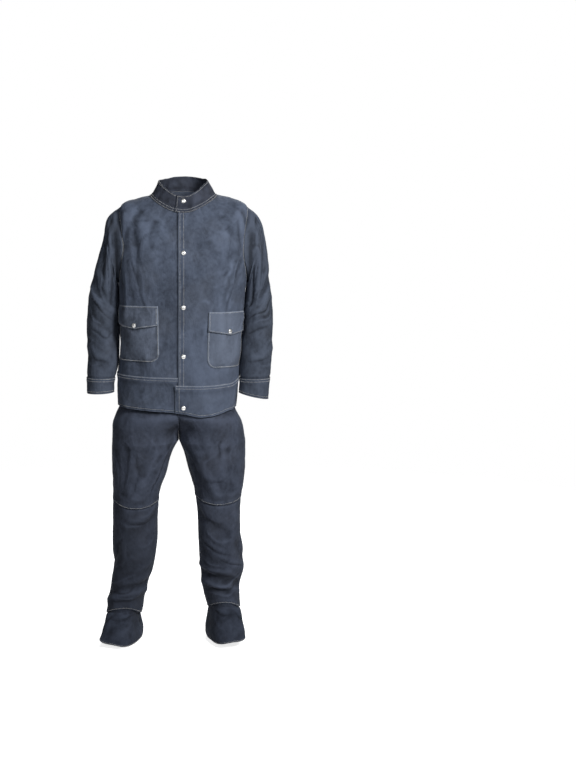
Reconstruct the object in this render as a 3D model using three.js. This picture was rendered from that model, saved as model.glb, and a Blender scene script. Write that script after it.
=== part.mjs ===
// Split-leather welding suit in the form it takes when worn: stand-collar jacket, trousers and foot covers.
// Millimetres, +Z up, +X towards the wearer's left, the front faces -Y.
// The origin is the centre of the neck hole, where the jacket hangs on the shoulders.
import * as THREE from "three";

const { abs, cos, exp, floor, hypot, max, min, PI, pow, sign, sin } = Math;
const V = (x, y, z) => new THREE.Vector3(x, y, z);
const DEGREE = PI / 180;

// Leather and the clearance between neighbouring pieces
const LEATHER = 2;
const SEAM_GAP = 0.3;
const LAP_GAP = 0.5;
const CLOSURE_GAP = 1.1;

// Jacket
const CHEST_HALF_WIDTH = 203;
const FRONT_DEPTH = 138;
const BACK_DEPTH = 124;
const JACKET_LENGTH = 668;
const COLLAR_HEIGHT = 47;
const SLEEVE_LENGTH = 545;
const SLEEVE_SPREAD = 106;
const SLEEVE_DEPTH = 66;
const FRONT_LAP = 17;
const UNDERLAP = 20;

// Pockets and press studs
const POCKET_HEIGHT = 174;
const FLAP_HEIGHT = 60;
const FLAP_POINT = 12;
const POCKET_FULLNESS = 3;
const STUD_RADIUS = 7.5;
const STUD_HEIGHT = 3.6;

// Trousers
const WAIST_DEPTH_BELOW_NECK = 430;
const WAISTBAND_HEIGHT = 38;
const RISE = 342;
const LEG_LENGTH = 585;
const LEG_HALF_DEPTH = 118;
const STANCE = 232;
const CENTRE_LEAN = -15;

// Foot covers
const FOOT_COVER_DROP = 88;
const FOOT_COVER_HALF_WIDTH = 57;
const INSTEP_LENGTH = 134;
const HEEL_LENGTH = 78;

// Mesh divisions
const QUARTER = 10;
const ARMHOLE_STEPS = 8;
const LEG_COLUMNS = 20;

const LEATHER_COLOUR = 0x3a4150;
const leather = new THREE.MeshStandardMaterial({
  color: LEATHER_COLOUR,
  roughness: 0.92,
  metalness: 0,
});
const nickel = new THREE.MeshStandardMaterial({
  color: 0xc9c9c6,
  roughness: 0.25,
  metalness: 1,
});

const lerp = (a, b, k) => a + (b - a) * k;
const clamp01 = (k) => min(1, max(0, k));
const ease = (k) => clamp01(k) * clamp01(k) * (3 - 2 * clamp01(k));
const rounded = (value, squareness) =>
  sign(value) * pow(abs(value), 2 / squareness);

// Smooth interpolation down the rows of a table, at row position t, which may lie between two rows.
function column(rows, key, t) {
  const last = rows.length - 1;
  const i = min(last - 1, max(0, floor(t)));
  const k = t - i;
  const a = rows[max(0, i - 1)][key];
  const b = rows[i][key];
  const c = rows[i + 1][key];
  const d = rows[min(last, i + 2)][key];
  const bend = (2 * a - 5 * b + 4 * c - d) * k * k;
  return b + 0.5 * ((c - a) * k + bend + (3 * b - a - 3 * c + d) * k * k * k);
}

// A soft fold is a ridge, or a valley where height is negative, along a line on a surface.
// from and to are places on the surface, in the same units as at; wide is the half-width across the fold.
function foldHeight(folds, at, stretch) {
  let total = 0;
  for (const fold of folds) {
    const run = [
      (fold.to[0] - fold.from[0]) * stretch[0],
      (fold.to[1] - fold.from[1]) * stretch[1],
    ];
    const offset = [
      (at[0] - fold.from[0]) * stretch[0],
      (at[1] - fold.from[1]) * stretch[1],
    ];
    const length = hypot(run[0], run[1]);
    const along = (offset[0] * run[0] + offset[1] * run[1]) / length;
    const across = (offset[0] * run[1] - offset[1] * run[0]) / length;
    const beyond = max(0, -along, along - length);
    const reach = (across * across + beyond * beyond) / (fold.wide * fold.wide);
    total += fold.height * exp(-reach);
  }
  return total;
}

// Outward unit normal of surface(u, v) by small steps; turn is +1 or -1 for the surface's own direction.
function normalOf(surface, u, v, turn) {
  const step = 1e-3;
  const across = surface(u + step, v).sub(surface(u - step, v));
  const down = surface(u, v + step).sub(surface(u, v - step));
  return across.cross(down).normalize().multiplyScalar(turn);
}

const shifted = (point, direction, distance) =>
  point.clone().addScaledVector(direction, distance);

// A closed leather solid from two grids of points, the outside and the inside, row by row.
function leatherSolid(outside, inside, wraps) {
  const rows = outside.length;
  const columns = outside[0].length;
  const points = [...outside.flat(), ...inside.flat()];
  const back = rows * columns;
  const at = (i, j) => i * columns + (j % columns);
  const faces = [];
  const quad = (a, b, c, d) => faces.push(a, b, c, a, c, d);
  const spans = wraps ? columns : columns - 1;
  for (let i = 0; i < rows - 1; i++)
    for (let j = 0; j < spans; j++) {
      const [a, b, c, d] = [at(i, j), at(i + 1, j), at(i + 1, j + 1), at(i, j + 1)];
      quad(a, b, c, d);
      faces.push(a + back, c + back, b + back, a + back, d + back, c + back);
    }
  for (let j = 0; j < spans; j++) {
    quad(at(0, j), at(0, j + 1), at(0, j + 1) + back, at(0, j) + back);
    const foot = [at(rows - 1, j), at(rows - 1, j + 1)];
    quad(foot[1], foot[0], foot[0] + back, foot[1] + back);
  }
  if (!wraps)
    for (let i = 0; i < rows - 1; i++) {
      const edge = [at(i, 0), at(i + 1, 0)];
      quad(edge[1], edge[0], edge[0] + back, edge[1] + back);
      const end = [at(i, columns - 1), at(i + 1, columns - 1)];
      quad(end[0], end[1], end[1] + back, end[0] + back);
    }
  return facingOut(points, faces);
}

// Turns every face round if the solid's volume comes out negative.
function facingOut(points, faces) {
  let volume = 0;
  for (let i = 0; i < faces.length; i += 3) {
    const [a, b, c] = [points[faces[i]], points[faces[i + 1]], points[faces[i + 2]]];
    volume += a.dot(b.clone().cross(c));
  }
  const ordered = volume < 0 ? [...faces].reverse() : faces;
  const geometry = new THREE.BufferGeometry();
  geometry.setAttribute(
    "position",
    new THREE.Float32BufferAttribute(points.flatMap((p) => [p.x, p.y, p.z]), 3),
  );
  geometry.setIndex(ordered);
  geometry.computeVertexNormals();
  return geometry;
}

const suit = new THREE.Group();
suit.name = "welding_suit";

function add(name, geometry, material = leather) {
  const mesh = new THREE.Mesh(geometry, material);
  mesh.name = name;
  suit.add(mesh);
  return mesh;
}

const steps = (from, to, count) =>
  Array.from({ length: count + 1 }, (_, i) => lerp(from, to, i / count));

// Jacket body

// One row for each level of the body, from the neck hole down to the hem.
// front, side and back are drops as shares of JACKET_LENGTH.
// width, chest and spine are shares of the half sizes.
// lean moves the sides over and sag lets the front down beside the lap.
const BODY = [
  {
    front: 0.068, side: -0.008, back: -0.028, width: 0.5, chest: 0.7,
    spine: 0.7, square: 2, lean: 0, sag: 0,
  },
  {
    front: 0.14, side: 0.006, back: 0.04, width: 0.735, chest: 0.83,
    spine: 0.85, square: 2.15, lean: 0, sag: 0,
  },
  {
    front: 0.215, side: 0.043, back: 0.12, width: 0.985, chest: 0.93,
    spine: 0.96, square: 2.4, lean: 0, sag: 0,
  },
  {
    front: 0.31, side: 0.215, back: 0.25, width: 1.02, chest: 1,
    spine: 1.03, square: 2.5, lean: 0, sag: 0,
  },
  {
    front: 0.415, side: 0.4, back: 0.4, width: 0.995, chest: 1,
    spine: 1, square: 2.5, lean: -0.01, sag: 0,
  },
  {
    front: 0.63, side: 0.625, back: 0.62, width: 0.955, chest: 0.985,
    spine: 0.93, square: 2.45, lean: -0.045, sag: 0,
  },
  {
    front: 0.847, side: 0.84, back: 0.835, width: 0.945, chest: 1,
    spine: 1.02, square: 2.4, lean: -0.075, sag: 0,
  },
  {
    front: 0.997, side: 0.984, back: 0.975, width: 0.925, chest: 0.985,
    spine: 1.06, square: 2.4, lean: -0.098, sag: 0.025,
  },
];
const SHOULDER_TIP = 2;
const ARMPIT = 4;
const BAND_SEAM = 6;
const HEM = BODY.length - 1;
const ARMHOLE_OPENING = 0.33;

// Folds of the jacket: places are the angle round the body in degrees and the row of BODY.
// The angle is 0 at the front and + to the wearer's left.
const BODY_FOLDS = [
  { from: [-52, 1.3], to: [-38, 3.2], height: -5, wide: 16 },
  { from: [-62, 2.2], to: [-56, 4.6], height: 5, wide: 17 },
  { from: [-30, 1.2], to: [-24, 2.4], height: -3.5, wide: 14 },
  { from: [58, 1.8], to: [60, 3.4], height: 4, wide: 15 },
  { from: [44, 1.4], to: [40, 3], height: -4, wide: 17 },
  { from: [26, 3.6], to: [34, 5.2], height: 3.5, wide: 20 },
  { from: [-70, 5.1], to: [-40, 5.75], height: -4, wide: 20 },
  { from: [72, 5], to: [45, 5.8], height: 4, wide: 18 },
  { from: [80, 5.6], to: [62, 6.1], height: -4, wide: 15 },
  { from: [-150, 2.6], to: [-140, 4.6], height: -6, wide: 24 },
  { from: [150, 2.6], to: [140, 4.6], height: -6, wide: 24 },
  { from: [-175, 4.4], to: [-125, 5.5], height: 4, wide: 26 },
  { from: [170, 4.8], to: [120, 5.6], height: -4, wide: 24 },
];
const BODY_STRETCH = [3, 85];

const bodyAt = (key, t) => column(BODY, key, t);

// The left front hangs lowest a hand's width from the lap.
const SAG_ANGLE = 14;
function sagShare(angle) {
  const reach = angle < SAG_ANGLE ? 14 : 38;
  return exp(-pow((angle - SAG_ANGLE) / reach, 2));
}

// Half of the opening that the armhole leaves at the side, as an angle from the side line.
function armholeAngle(t) {
  const k = (t - SHOULDER_TIP) / (ARMPIT - SHOULDER_TIP);
  return k <= 0 || k >= 1 ? 0 : 90 * ARMHOLE_OPENING * pow(sin(PI * k), 0.75);
}

const wrapped = (angle) => angle - 360 * Math.round(angle / 360);

// The jacket's surface at an angle round the body, in degrees, and a row position; inset shrinks it.
function bodyShape(angle, t, inset = 0) {
  const drop = bodyAt("sag", t) * sagShare(wrapped(angle));
  const c = cos(angle * DEGREE);
  const s = sin(angle * DEGREE);
  const square = bodyAt("square", t);
  const side = bodyAt("side", t);
  const end = c > 0 ? bodyAt("front", t) : bodyAt("back", t);
  const depth = c > 0 ? FRONT_DEPTH * bodyAt("chest", t) : BACK_DEPTH * bodyAt("spine", t);
  const width = CHEST_HALF_WIDTH * bodyAt("width", t);
  return V(
    CHEST_HALF_WIDTH * bodyAt("lean", t) * s * s + (width - inset) * rounded(s, square),
    -(depth - inset) * rounded(c, square),
    -JACKET_LENGTH * (lerp(side, end, c * c) + drop),
  );
}

function body(angle, t) {
  const place = wrapped(angle);
  const fade = ease((BAND_SEAM + 0.2 - t) / 0.8);
  const height = fade * foldHeight(BODY_FOLDS, [place, t], BODY_STRETCH);
  return shifted(bodyShape(angle, t), normalOf(bodyShape, angle, t, -1), height);
}

const bodyNormal = (angle, t) => normalOf(bodyShape, angle, t, -1);

// How far the under layer of the front closure is set in, by its place across the front.
const TOP_LAYER_EDGE = -5.5;
const UNDER_LAYER_START = -26;
function underLayer(angle) {
  const reach = TOP_LAYER_EDGE - 2 - UNDER_LAYER_START;
  return (LEATHER + CLOSURE_GAP) * ease((angle - UNDER_LAYER_START) / reach);
}

// The left front is cut lower than the rest at the band seam, by this share of the band's row.
const LEFT_SEAM_DROP = 0.19;
const seamDrop = (angle) => (angle > -10 && angle < 90 ? LEFT_SEAM_DROP * ease((90 - angle) / 35) : 0);

// Grids of outside and inside points of a stretch of the body, from lists of rows and of each row's angles.
// lowered is how far a row is let down at an angle.
function bodyGrids(rowList, anglesAt, setIn, lowered) {
  const grid = (depth) =>
    rowList.map((t, i) =>
      anglesAt(t).map((angle) => {
        const row = t + lowered(angle, i);
        return shifted(body(angle, row), bodyNormal(angle, row), -setIn(angle) - depth);
      }),
    );
  return [grid(0), grid(LEATHER)];
}
const flat = () => 0;

const UPPER_ROWS = [...steps(0, SHOULDER_TIP, 4), ...steps(SHOULDER_TIP, ARMPIT, ARMHOLE_STEPS).slice(1)];
const PANEL_ROWS = [...UPPER_ROWS, ...steps(ARMPIT, BAND_SEAM - 0.004, 4).slice(1)];
const SIDE_TRIM = 0.05;

// A front edge keeps its distance from the centre line, so its angle changes with the width of the row.
function frontAngle(t, x) {
  const width = CHEST_HALF_WIDTH * bodyAt("width", t);
  const square = bodyAt("square", t);
  return Math.asin(pow(abs(x) / width, square / 2)) / DEGREE;
}

function frontPanel(side, centreAngle) {
  return (t) => {
    const edge = 90 - armholeAngle(t) - SIDE_TRIM;
    return [side * centreAngle(t), ...steps(0, 1, QUARTER).map((k) => side * edge * k)];
  };
}

const bandShare = (t) => clamp01((t - ARMPIT) / (BAND_SEAM - ARMPIT));
const leftFront = bodyGrids(
  PANEL_ROWS,
  frontPanel(1, (t) => -frontAngle(t, FRONT_LAP)),
  flat,
  (angle, i) => seamDrop(angle) * bandShare(PANEL_ROWS[i]),
);
const rightFront = bodyGrids(
  PANEL_ROWS,
  frontPanel(-1, (t) => -frontAngle(t, UNDERLAP)),
  underLayer,
  flat,
);
const backAngles = (t) => {
  const edge = 90 - armholeAngle(t) - SIDE_TRIM;
  return steps(180 - edge, 180 + edge, 2 * QUARTER);
};
const backPanel = bodyGrids(PANEL_ROWS, backAngles, flat, flat);
add("jacket_front_left", leatherSolid(...leftFront));
add("jacket_front_right", leatherSolid(...rightFront));
add("jacket_back", leatherSolid(...backPanel));

// The angles round a band that closes at the front: the top layer's end, the quarters, and the under end.
function closingAngles(topEnd, underEnd) {
  return [-topEnd, ...steps(0, 360, 4 * QUARTER), 360 + underEnd];
}
const closingSetIn = (angle) => (angle > 180 ? underLayer(angle - 360) : 0);

const bandRows = [BAND_SEAM + 0.004, BAND_SEAM + 0.55, HEM];
const hemBand = bodyGrids(
  bandRows,
  () => closingAngles(frontAngle(HEM, FRONT_LAP), frontAngle(HEM, UNDERLAP)),
  closingSetIn,
  (angle, i) => (i === 0 ? seamDrop(angle) : 0),
);
add("hem_band", leatherSolid(...hemBand));

// Collar

// Rows from the seam to the top edge: rise as a share of COLLAR_HEIGHT, and how far it leans in.
const COLLAR = [
  { rise: 0, narrow: 0, shorten: 0 },
  { rise: 0.4, narrow: 0.1, shorten: 0.02 },
  { rise: 1, narrow: 0.24, shorten: 0.07 },
];
const COLLAR_TAB = 16;
const COLLAR_UNDER = 12;

// The collar's lower edge stands on the neckline's cut edge, column over column.
function collarGrid(depth) {
  return COLLAR.map((row) =>
    closingAngles(COLLAR_TAB, COLLAR_UNDER).map((angle) => {
      const seat = shifted(body(angle, 0), bodyNormal(angle, 0), -closingSetIn(angle));
      const inward = V(seat.x, seat.y, 0).normalize();
      return V(
        seat.x * (1 - row.narrow) - inward.x * depth,
        seat.y * (1 - row.shorten) - inward.y * depth,
        seat.z + SEAM_GAP + COLLAR_HEIGHT * row.rise,
      );
    }),
  );
}
add("collar", leatherSolid(collarGrid(0), collarGrid(LEATHER)));

// Sleeves

// Each row is a ring of the sleeve.
// outFall and inFall are shares of the way down from the shoulder tip and from the armpit to the cuff seam.
// out and in are distances from the armhole as shares of SLEEVE_SPREAD.
const SLEEVE_RIGHT = [
  { outFall: 0.03, out: 0.15, inFall: 0.012, in: 0.09, mid: 4, deep: 1.03 },
  { outFall: 0.07, out: 0.37, inFall: 0.03, in: 0.1, mid: 5, deep: 1.04 },
  { outFall: 0.12, out: 0.47, inFall: 0.06, in: 0.11, mid: 6, deep: 1.02 },
  { outFall: 0.2, out: 0.55, inFall: 0.11, in: 0.1, mid: 7, deep: 1 },
  { outFall: 0.31, out: 0.7, inFall: 0.18, in: 0.095, mid: 9, deep: 0.98 },
  { outFall: 0.43, out: 0.84, inFall: 0.28, in: 0.09, mid: 11, deep: 0.95 },
  { outFall: 0.57, out: 0.95, inFall: 0.42, in: 0.09, mid: 11, deep: 0.93 },
  { outFall: 0.71, out: 1.01, inFall: 0.6, in: 0.095, mid: 5, deep: 0.9 },
  { outFall: 0.86, out: 1, inFall: 0.8, in: 0.125, mid: -9, deep: 0.85 },
  { outFall: 1, out: 1, inFall: 1, in: 0.175, mid: -22, deep: 0.81 },
  { outFall: 1.08, out: 1, inFall: 1.13, in: 0.17, mid: -30, deep: 0.8 },
];
const SLEEVE_LEFT = [
  { outFall: 0.03, out: 0.16, inFall: 0.012, in: 0.09, mid: 4, deep: 1.03 },
  { outFall: 0.07, out: 0.36, inFall: 0.03, in: 0.08, mid: 5, deep: 1.04 },
  { outFall: 0.12, out: 0.5, inFall: 0.06, in: 0.07, mid: 6, deep: 1.02 },
  { outFall: 0.2, out: 0.59, inFall: 0.11, in: 0.05, mid: 7, deep: 1 },
  { outFall: 0.31, out: 0.66, inFall: 0.18, in: 0.02, mid: 8, deep: 0.98 },
  { outFall: 0.43, out: 0.68, inFall: 0.28, in: -0.01, mid: 9, deep: 0.95 },
  { outFall: 0.57, out: 0.75, inFall: 0.42, in: -0.05, mid: 8, deep: 0.93 },
  { outFall: 0.71, out: 0.785, inFall: 0.6, in: -0.095, mid: 0, deep: 0.9 },
  { outFall: 0.86, out: 0.755, inFall: 0.8, in: -0.12, mid: -16, deep: 0.85 },
  { outFall: 1, out: 0.69, inFall: 1, in: -0.14, mid: -32, deep: 0.81 },
  { outFall: 1.11, out: 0.66, inFall: 1.13, in: -0.16, mid: -42, deep: 0.8 },
];
const CUFF_SEAM = SLEEVE_LEFT.length - 2;
const CUFF_EDGE = SLEEVE_LEFT.length - 1;

// Folds of the sleeves: places are the angle round the arm and the ring; 0 is the outside and 90 the front.
const SLEEVE_FOLDS = [
  { from: [35, 0.6], to: [62, 4], height: -7, wide: 17 },
  { from: [70, 1], to: [88, 4.6], height: 5, wide: 14 },
  { from: [110, 2.2], to: [118, 5], height: -7, wide: 14 },
  { from: [30, 5.2], to: [90, 5.9], height: 4, wide: 14 },
  { from: [20, 6.3], to: [110, 6.6], height: -4, wide: 14 },
  { from: [330, 5], to: [20, 5.6], height: 3, wide: 16 },
  { from: [15, 7.7], to: [100, 7.9], height: 3.5, wide: 13 },
  { from: [240, 1.2], to: [262, 4.2], height: -6, wide: 20 },
  { from: [200, 5.8], to: [290, 6.3], height: -5, wide: 16 },
];
const SLEEVE_STRETCH = [1.1, 58];
const RING = 2 * ARMHOLE_STEPS;

const shoulderTip = bodyShape(90, SHOULDER_TIP);
const armpit = bodyShape(90, ARMPIT);
const cuffLevel = shoulderTip.z - SLEEVE_LENGTH;

function sleeveSurface(rows, side) {
  const shape = (angle, t) => {
    const outFall = column(rows, "outFall", t);
    const inFall = column(rows, "inFall", t);
    const outX = shoulderTip.x + SLEEVE_SPREAD * column(rows, "out", t);
    const inX = armpit.x + SLEEVE_SPREAD * column(rows, "in", t);
    const outer = V(outX, 0, lerp(shoulderTip.z, cuffLevel, outFall));
    const inner = V(inX, 0, lerp(armpit.z, cuffLevel, inFall));
    const middle = outer.clone().add(inner).multiplyScalar(0.5);
    const reach = outer.clone().sub(inner).multiplyScalar(0.5);
    const c = rounded(cos(angle * DEGREE), 2.15);
    const s = rounded(sin(angle * DEGREE), 2.15);
    const place = shifted(middle, reach, c);
    place.y = column(rows, "mid", t) - SLEEVE_DEPTH * column(rows, "deep", t) * s;
    return place;
  };
  const folded = (angle, t) => {
    const fade = ease((CUFF_SEAM + 0.1 - t) / 0.8);
    const height = fade * foldHeight(SLEEVE_FOLDS, [(angle + 720) % 360, t], SLEEVE_STRETCH);
    return shifted(shape(angle, t), normalOf(shape, angle, t, 1), height);
  };
  const place = (angle, t, depth) => {
    const point = shifted(folded(angle, t), normalOf(shape, angle, t, 1), -depth);
    point.x *= side;
    return point;
  };
  return place;
}

// The armhole's own ring: down the front edge from the shoulder tip to the armpit, then up the back edge,
// drawn in a little all round to clear the panels.
function armholeRing(side, depth) {
  const down = steps(SHOULDER_TIP, ARMPIT, ARMHOLE_STEPS);
  const edge = (t, back) => {
    const angle = back ? 90 + armholeAngle(t) : 90 - armholeAngle(t);
    return shifted(body(side * angle, t), bodyNormal(side * angle, t), -depth);
  };
  const up = down.slice(1, -1).reverse();
  const ring = [...down.map((t) => edge(t, false)), ...up.map((t) => edge(t, true))];
  const centre = ring.reduce((sum, p) => sum.add(p), V(0, 0, 0)).divideScalar(ring.length);
  return ring.map((p) => {
    const inward = centre.clone().sub(p).setX(0).normalize();
    const low = ease((centre.z - p.z) / 100);
    return shifted(p, inward, SEAM_GAP).add(V(side * SEAM_GAP * (1 + 2 * low), 0, 0));
  });
}

function sleeveRings(place, from, to, count, depth) {
  return steps(from, to, count).map((t) =>
    steps(0, 360, RING).slice(0, -1).map((angle) => place(angle, t, depth)),
  );
}

const SEAM_SHARE = 0.003;
for (const [name, rows, side] of [["left", SLEEVE_LEFT, 1], ["right", SLEEVE_RIGHT, -1]]) {
  const place = sleeveSurface(rows, side);
  const arm = (depth) => [
    armholeRing(side, depth),
    ...sleeveRings(place, 0, CUFF_SEAM - SEAM_SHARE, CUFF_SEAM + 2, depth),
  ];
  const cuff = (depth) => sleeveRings(place, CUFF_SEAM + SEAM_SHARE, CUFF_EDGE, 2, depth);
  add(`sleeve_${name}`, leatherSolid(arm(0), arm(LEATHER), true));
  add(`cuff_${name}`, leatherSolid(cuff(0), cuff(LEATHER), true));
}

// Pockets

// The row position on the front at which a panel column reaches a given height.
function rowAt(angle, z) {
  let [low, high] = [SHOULDER_TIP, HEM];
  for (let i = 0; i < 30; i++) {
    const mid = (low + high) / 2;
    if (bodyShape(angle, mid).z > z) low = mid;
    else high = mid;
  }
  return low;
}

// top is a share of JACKET_LENGTH; the rest are shares of the quarter turn from the front to the side.
const POCKETS = [
  { name: "right", side: -1, top: 0.503, inner: 0.203, outer: 0.86, point: 0.475, stud: 0.482 },
  { name: "left", side: 1, top: 0.53, inner: 0.207, outer: 0.85, point: 0.5, stud: 0.478 },
];
const POCKET_CORNER = 26;
const FLAP_SEAM = 9;
const FLAP_FREE = 1.2;

// A place on a front panel's own facets, at a share of the quarter turn and a height.
function onFront(side, share, z) {
  const grid = (side > 0 ? leftFront : rightFront)[0];
  const j = 1 + floor(share * QUARTER);
  const across = share * QUARTER - floor(share * QUARTER);
  const line = grid.map((row) => row[j].clone().lerp(row[j + 1], across));
  const i = line.findLastIndex((p) => p.z >= z);
  return line[i].clone().lerp(line[i + 1], (line[i].z - z) / (line[i].z - line[i + 1].z));
}

function pocketPoint(pocket, share, drop, lift) {
  const angle = pocket.side * 90 * share;
  const z = -JACKET_LENGTH * pocket.top - drop;
  const edge = min(share - pocket.inner, pocket.outer - share) / (pocket.outer - pocket.inner);
  const fall = ease((drop - FLAP_SEAM) / 45) * ease((POCKET_HEIGHT - drop) / 40);
  const belly = POCKET_FULLNESS * ease(edge * 4) * fall;
  const round = 0.3 * ease((share - 0.7) / 0.15);
  const out = LAP_GAP + round + belly + lift;
  return shifted(onFront(pocket.side, share, z), bodyNormal(angle, rowAt(angle, z)), out);
}

function flapPoint(pocket, share, drop, lift) {
  const free = (LEATHER + LAP_GAP) * ease(drop / FLAP_SEAM) + FLAP_FREE * ease((drop - FLAP_SEAM) / 25);
  return pocketPoint(pocket, share, drop, lift + free);
}

const pocketShares = (pocket) => [
  pocket.inner,
  ...steps(0, 1, QUARTER).filter((k) => k > pocket.inner + 0.02 && k < pocket.outer - 0.02),
  pocket.outer,
];

// The pocket's lower edge rises in a round corner at each side.
function bagDrop(pocket, share, k) {
  const span = CHEST_HALF_WIDTH * 0.95 * 1.25 * min(share - pocket.inner, pocket.outer - share);
  const corner = max(0, 1 - span / POCKET_CORNER);
  const bottom = POCKET_HEIGHT - POCKET_CORNER * (1 - pow(max(0, 1 - corner * corner), 0.5));
  return lerp(FLAP_SEAM * 2, bottom, k);
}

function flapDrop(pocket, share, k) {
  const half = share < pocket.point ? pocket.point - pocket.inner : pocket.outer - pocket.point;
  const point = FLAP_POINT * (1 - abs(share - pocket.point) / half);
  return lerp(0, FLAP_HEIGHT + point, k);
}

for (const pocket of POCKETS) {
  const shares = pocketShares(pocket);
  const rows = (list, make) => list.map((k) => shares.map((share) => make(share, k)));
  const bag = (lift) =>
    rows(steps(0, 1, 4), (share, k) => pocketPoint(pocket, share, bagDrop(pocket, share, k), lift));
  const flap = (lift) =>
    rows([0, 0.15, 0.35, 1], (share, k) => flapPoint(pocket, share, flapDrop(pocket, share, k), lift));
  add(`pocket_${pocket.name}`, leatherSolid(bag(LEATHER), bag(0)));
  add(`pocket_flap_${pocket.name}`, leatherSolid(flap(LEATHER), flap(0)));
}

// Press studs: a domed cap whose flat back lies on the leather.
function studGeometry() {
  const profile = [V(0, 0), V(STUD_RADIUS, 0), V(STUD_RADIUS, 1), V(STUD_RADIUS * 0.86, 2.2)];
  profile.push(V(STUD_RADIUS * 0.5, STUD_HEIGHT * 0.94), V(0, STUD_HEIGHT));
  const lathe = new THREE.LatheGeometry(profile.map((p) => new THREE.Vector2(p.x, p.y)), 12);
  return lathe;
}

function addStud(name, seat, normal) {
  const stud = add(name, studGeometry(), nickel);
  stud.quaternion.setFromUnitVectors(V(0, 1, 0), normal);
  stud.position.copy(shifted(seat, normal, LAP_GAP + 0.15));
}

const STUD_ROWS = { front_top: 0.258, front_middle: 0.509, front_bottom: 0.736, hem: 0.976 };
for (const [name, share] of Object.entries(STUD_ROWS)) {
  const t = rowAt(0, -JACKET_LENGTH * share);
  addStud(`stud_${name}`, body(0, t), bodyNormal(0, t));
}
for (const pocket of POCKETS) {
  const seat = flapPoint(pocket, pocket.stud, FLAP_HEIGHT, LEATHER);
  addStud(`stud_pocket_${pocket.name}`, seat, bodyNormal(pocket.side * 90 * pocket.stud, rowAt(0, seat.z)));
}
{
  const grid = collarGrid(0);
  const [low, high] = [grid[1][1], grid[2][1]];
  const up = high.clone().sub(low).normalize();
  const along = grid[1][2].clone().sub(grid[1][0]).normalize();
  const seat = low.clone().lerp(high, 0.45);
  addStud("stud_collar", seat, along.cross(up).normalize());
}

// Trousers

// Rows below the crotch, at drops as shares of LEG_LENGTH.
// out and in are the leg's outer and inner edge as shares of STANCE; mid and deep place it front to back.
// dip and tail let the row down at the front and at the back, in mm.
const LEG_RIGHT = [
  { drop: 0, out: -1, in: -0.066, mid: 4, deep: 1, dip: 0, tail: 0, square: 2.2 },
  { drop: 0.07, out: -0.996, in: -0.16, mid: 4, deep: 0.95, dip: 3, tail: 0, square: 2.2 },
  { drop: 0.17, out: -0.981, in: -0.236, mid: 3, deep: 0.89, dip: 9, tail: 0, square: 2.2 },
  { drop: 0.26, out: -0.98, in: -0.31, mid: 2, deep: 0.82, dip: 15, tail: 0, square: 2.2 },
  { drop: 0.32, out: -0.982, in: -0.345, mid: 2, deep: 0.78, dip: 19, tail: 0, square: 2.2 },
  { drop: 0.41, out: -0.984, in: -0.359, mid: 5, deep: 0.76, dip: 10, tail: 0, square: 2.2 },
  { drop: 0.545, out: -0.987, in: -0.362, mid: 14, deep: 0.75, dip: 0, tail: 0, square: 2.2 },
  { drop: 0.68, out: -0.992, in: -0.405, mid: 28, deep: 0.71, dip: 0, tail: 0, square: 2.2 },
  { drop: 0.8, out: -1.02, in: -0.487, mid: 43, deep: 0.66, dip: -4, tail: 5, square: 2.2 },
  { drop: 0.9, out: -1.06, in: -0.553, mid: 53, deep: 0.62, dip: -12, tail: 15, square: 2.2 },
  { drop: 1, out: -1.1, in: -0.59, mid: 58, deep: 0.62, dip: -26, tail: 30, square: 2.3 },
];
const LEG_LEFT = [
  { drop: 0, out: 0.851, in: -0.063, mid: 4, deep: 1, dip: 0, tail: 0, square: 2.2 },
  { drop: 0.07, out: 0.854, in: 0.007, mid: 4, deep: 0.95, dip: 3, tail: 0, square: 2.2 },
  { drop: 0.15, out: 0.85, in: 0.06, mid: 3, deep: 0.89, dip: 8, tail: 0, square: 2.2 },
  { drop: 0.24, out: 0.845, in: 0.13, mid: 2, deep: 0.82, dip: 13, tail: 0, square: 2.2 },
  { drop: 0.3, out: 0.815, in: 0.162, mid: 2, deep: 0.78, dip: 17, tail: 0, square: 2.2 },
  { drop: 0.4, out: 0.8, in: 0.193, mid: 5, deep: 0.76, dip: 9, tail: 0, square: 2.2 },
  { drop: 0.52, out: 0.803, in: 0.206, mid: 14, deep: 0.75, dip: 0, tail: 0, square: 2.2 },
  { drop: 0.66, out: 0.838, in: 0.222, mid: 28, deep: 0.71, dip: 0, tail: 0, square: 2.2 },
  { drop: 0.735, out: 0.85, in: 0.24, mid: 37, deep: 0.68, dip: -3, tail: 4, square: 2.2 },
  { drop: 0.85, out: 0.785, in: 0.275, mid: 51, deep: 0.63, dip: -12, tail: 14, square: 2.2 },
  { drop: 0.966, out: 0.81, in: 0.338, mid: 58, deep: 0.62, dip: -27, tail: 28, square: 2.3 },
];
const KNEE_SEAM = 4;
const TROUSER_HEM = LEG_LEFT.length - 1;

// Where the hips touch the jacket's hem, as a share of RISE from a share of JACKET_LENGTH.
const hipDrop = (share) => (JACKET_LENGTH * share - WAIST_DEPTH_BELOW_NECK) / RISE;

// Rows of the hip part, inside the jacket and just below it: drops as shares of RISE, and the slack inside.
const HIP = [
  { drop: 0, slack: 34 },
  { drop: 0.35, slack: 24 },
  { drop: hipDrop(0.9714), slack: 0 },
  { drop: hipDrop(0.9944), slack: 0 },
  { drop: 0.86, slack: -17 },
  { drop: 1, slack: -20 },
];
const HIP_CONTACT = 3;
const FRONT_SLACK = 9;

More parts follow.
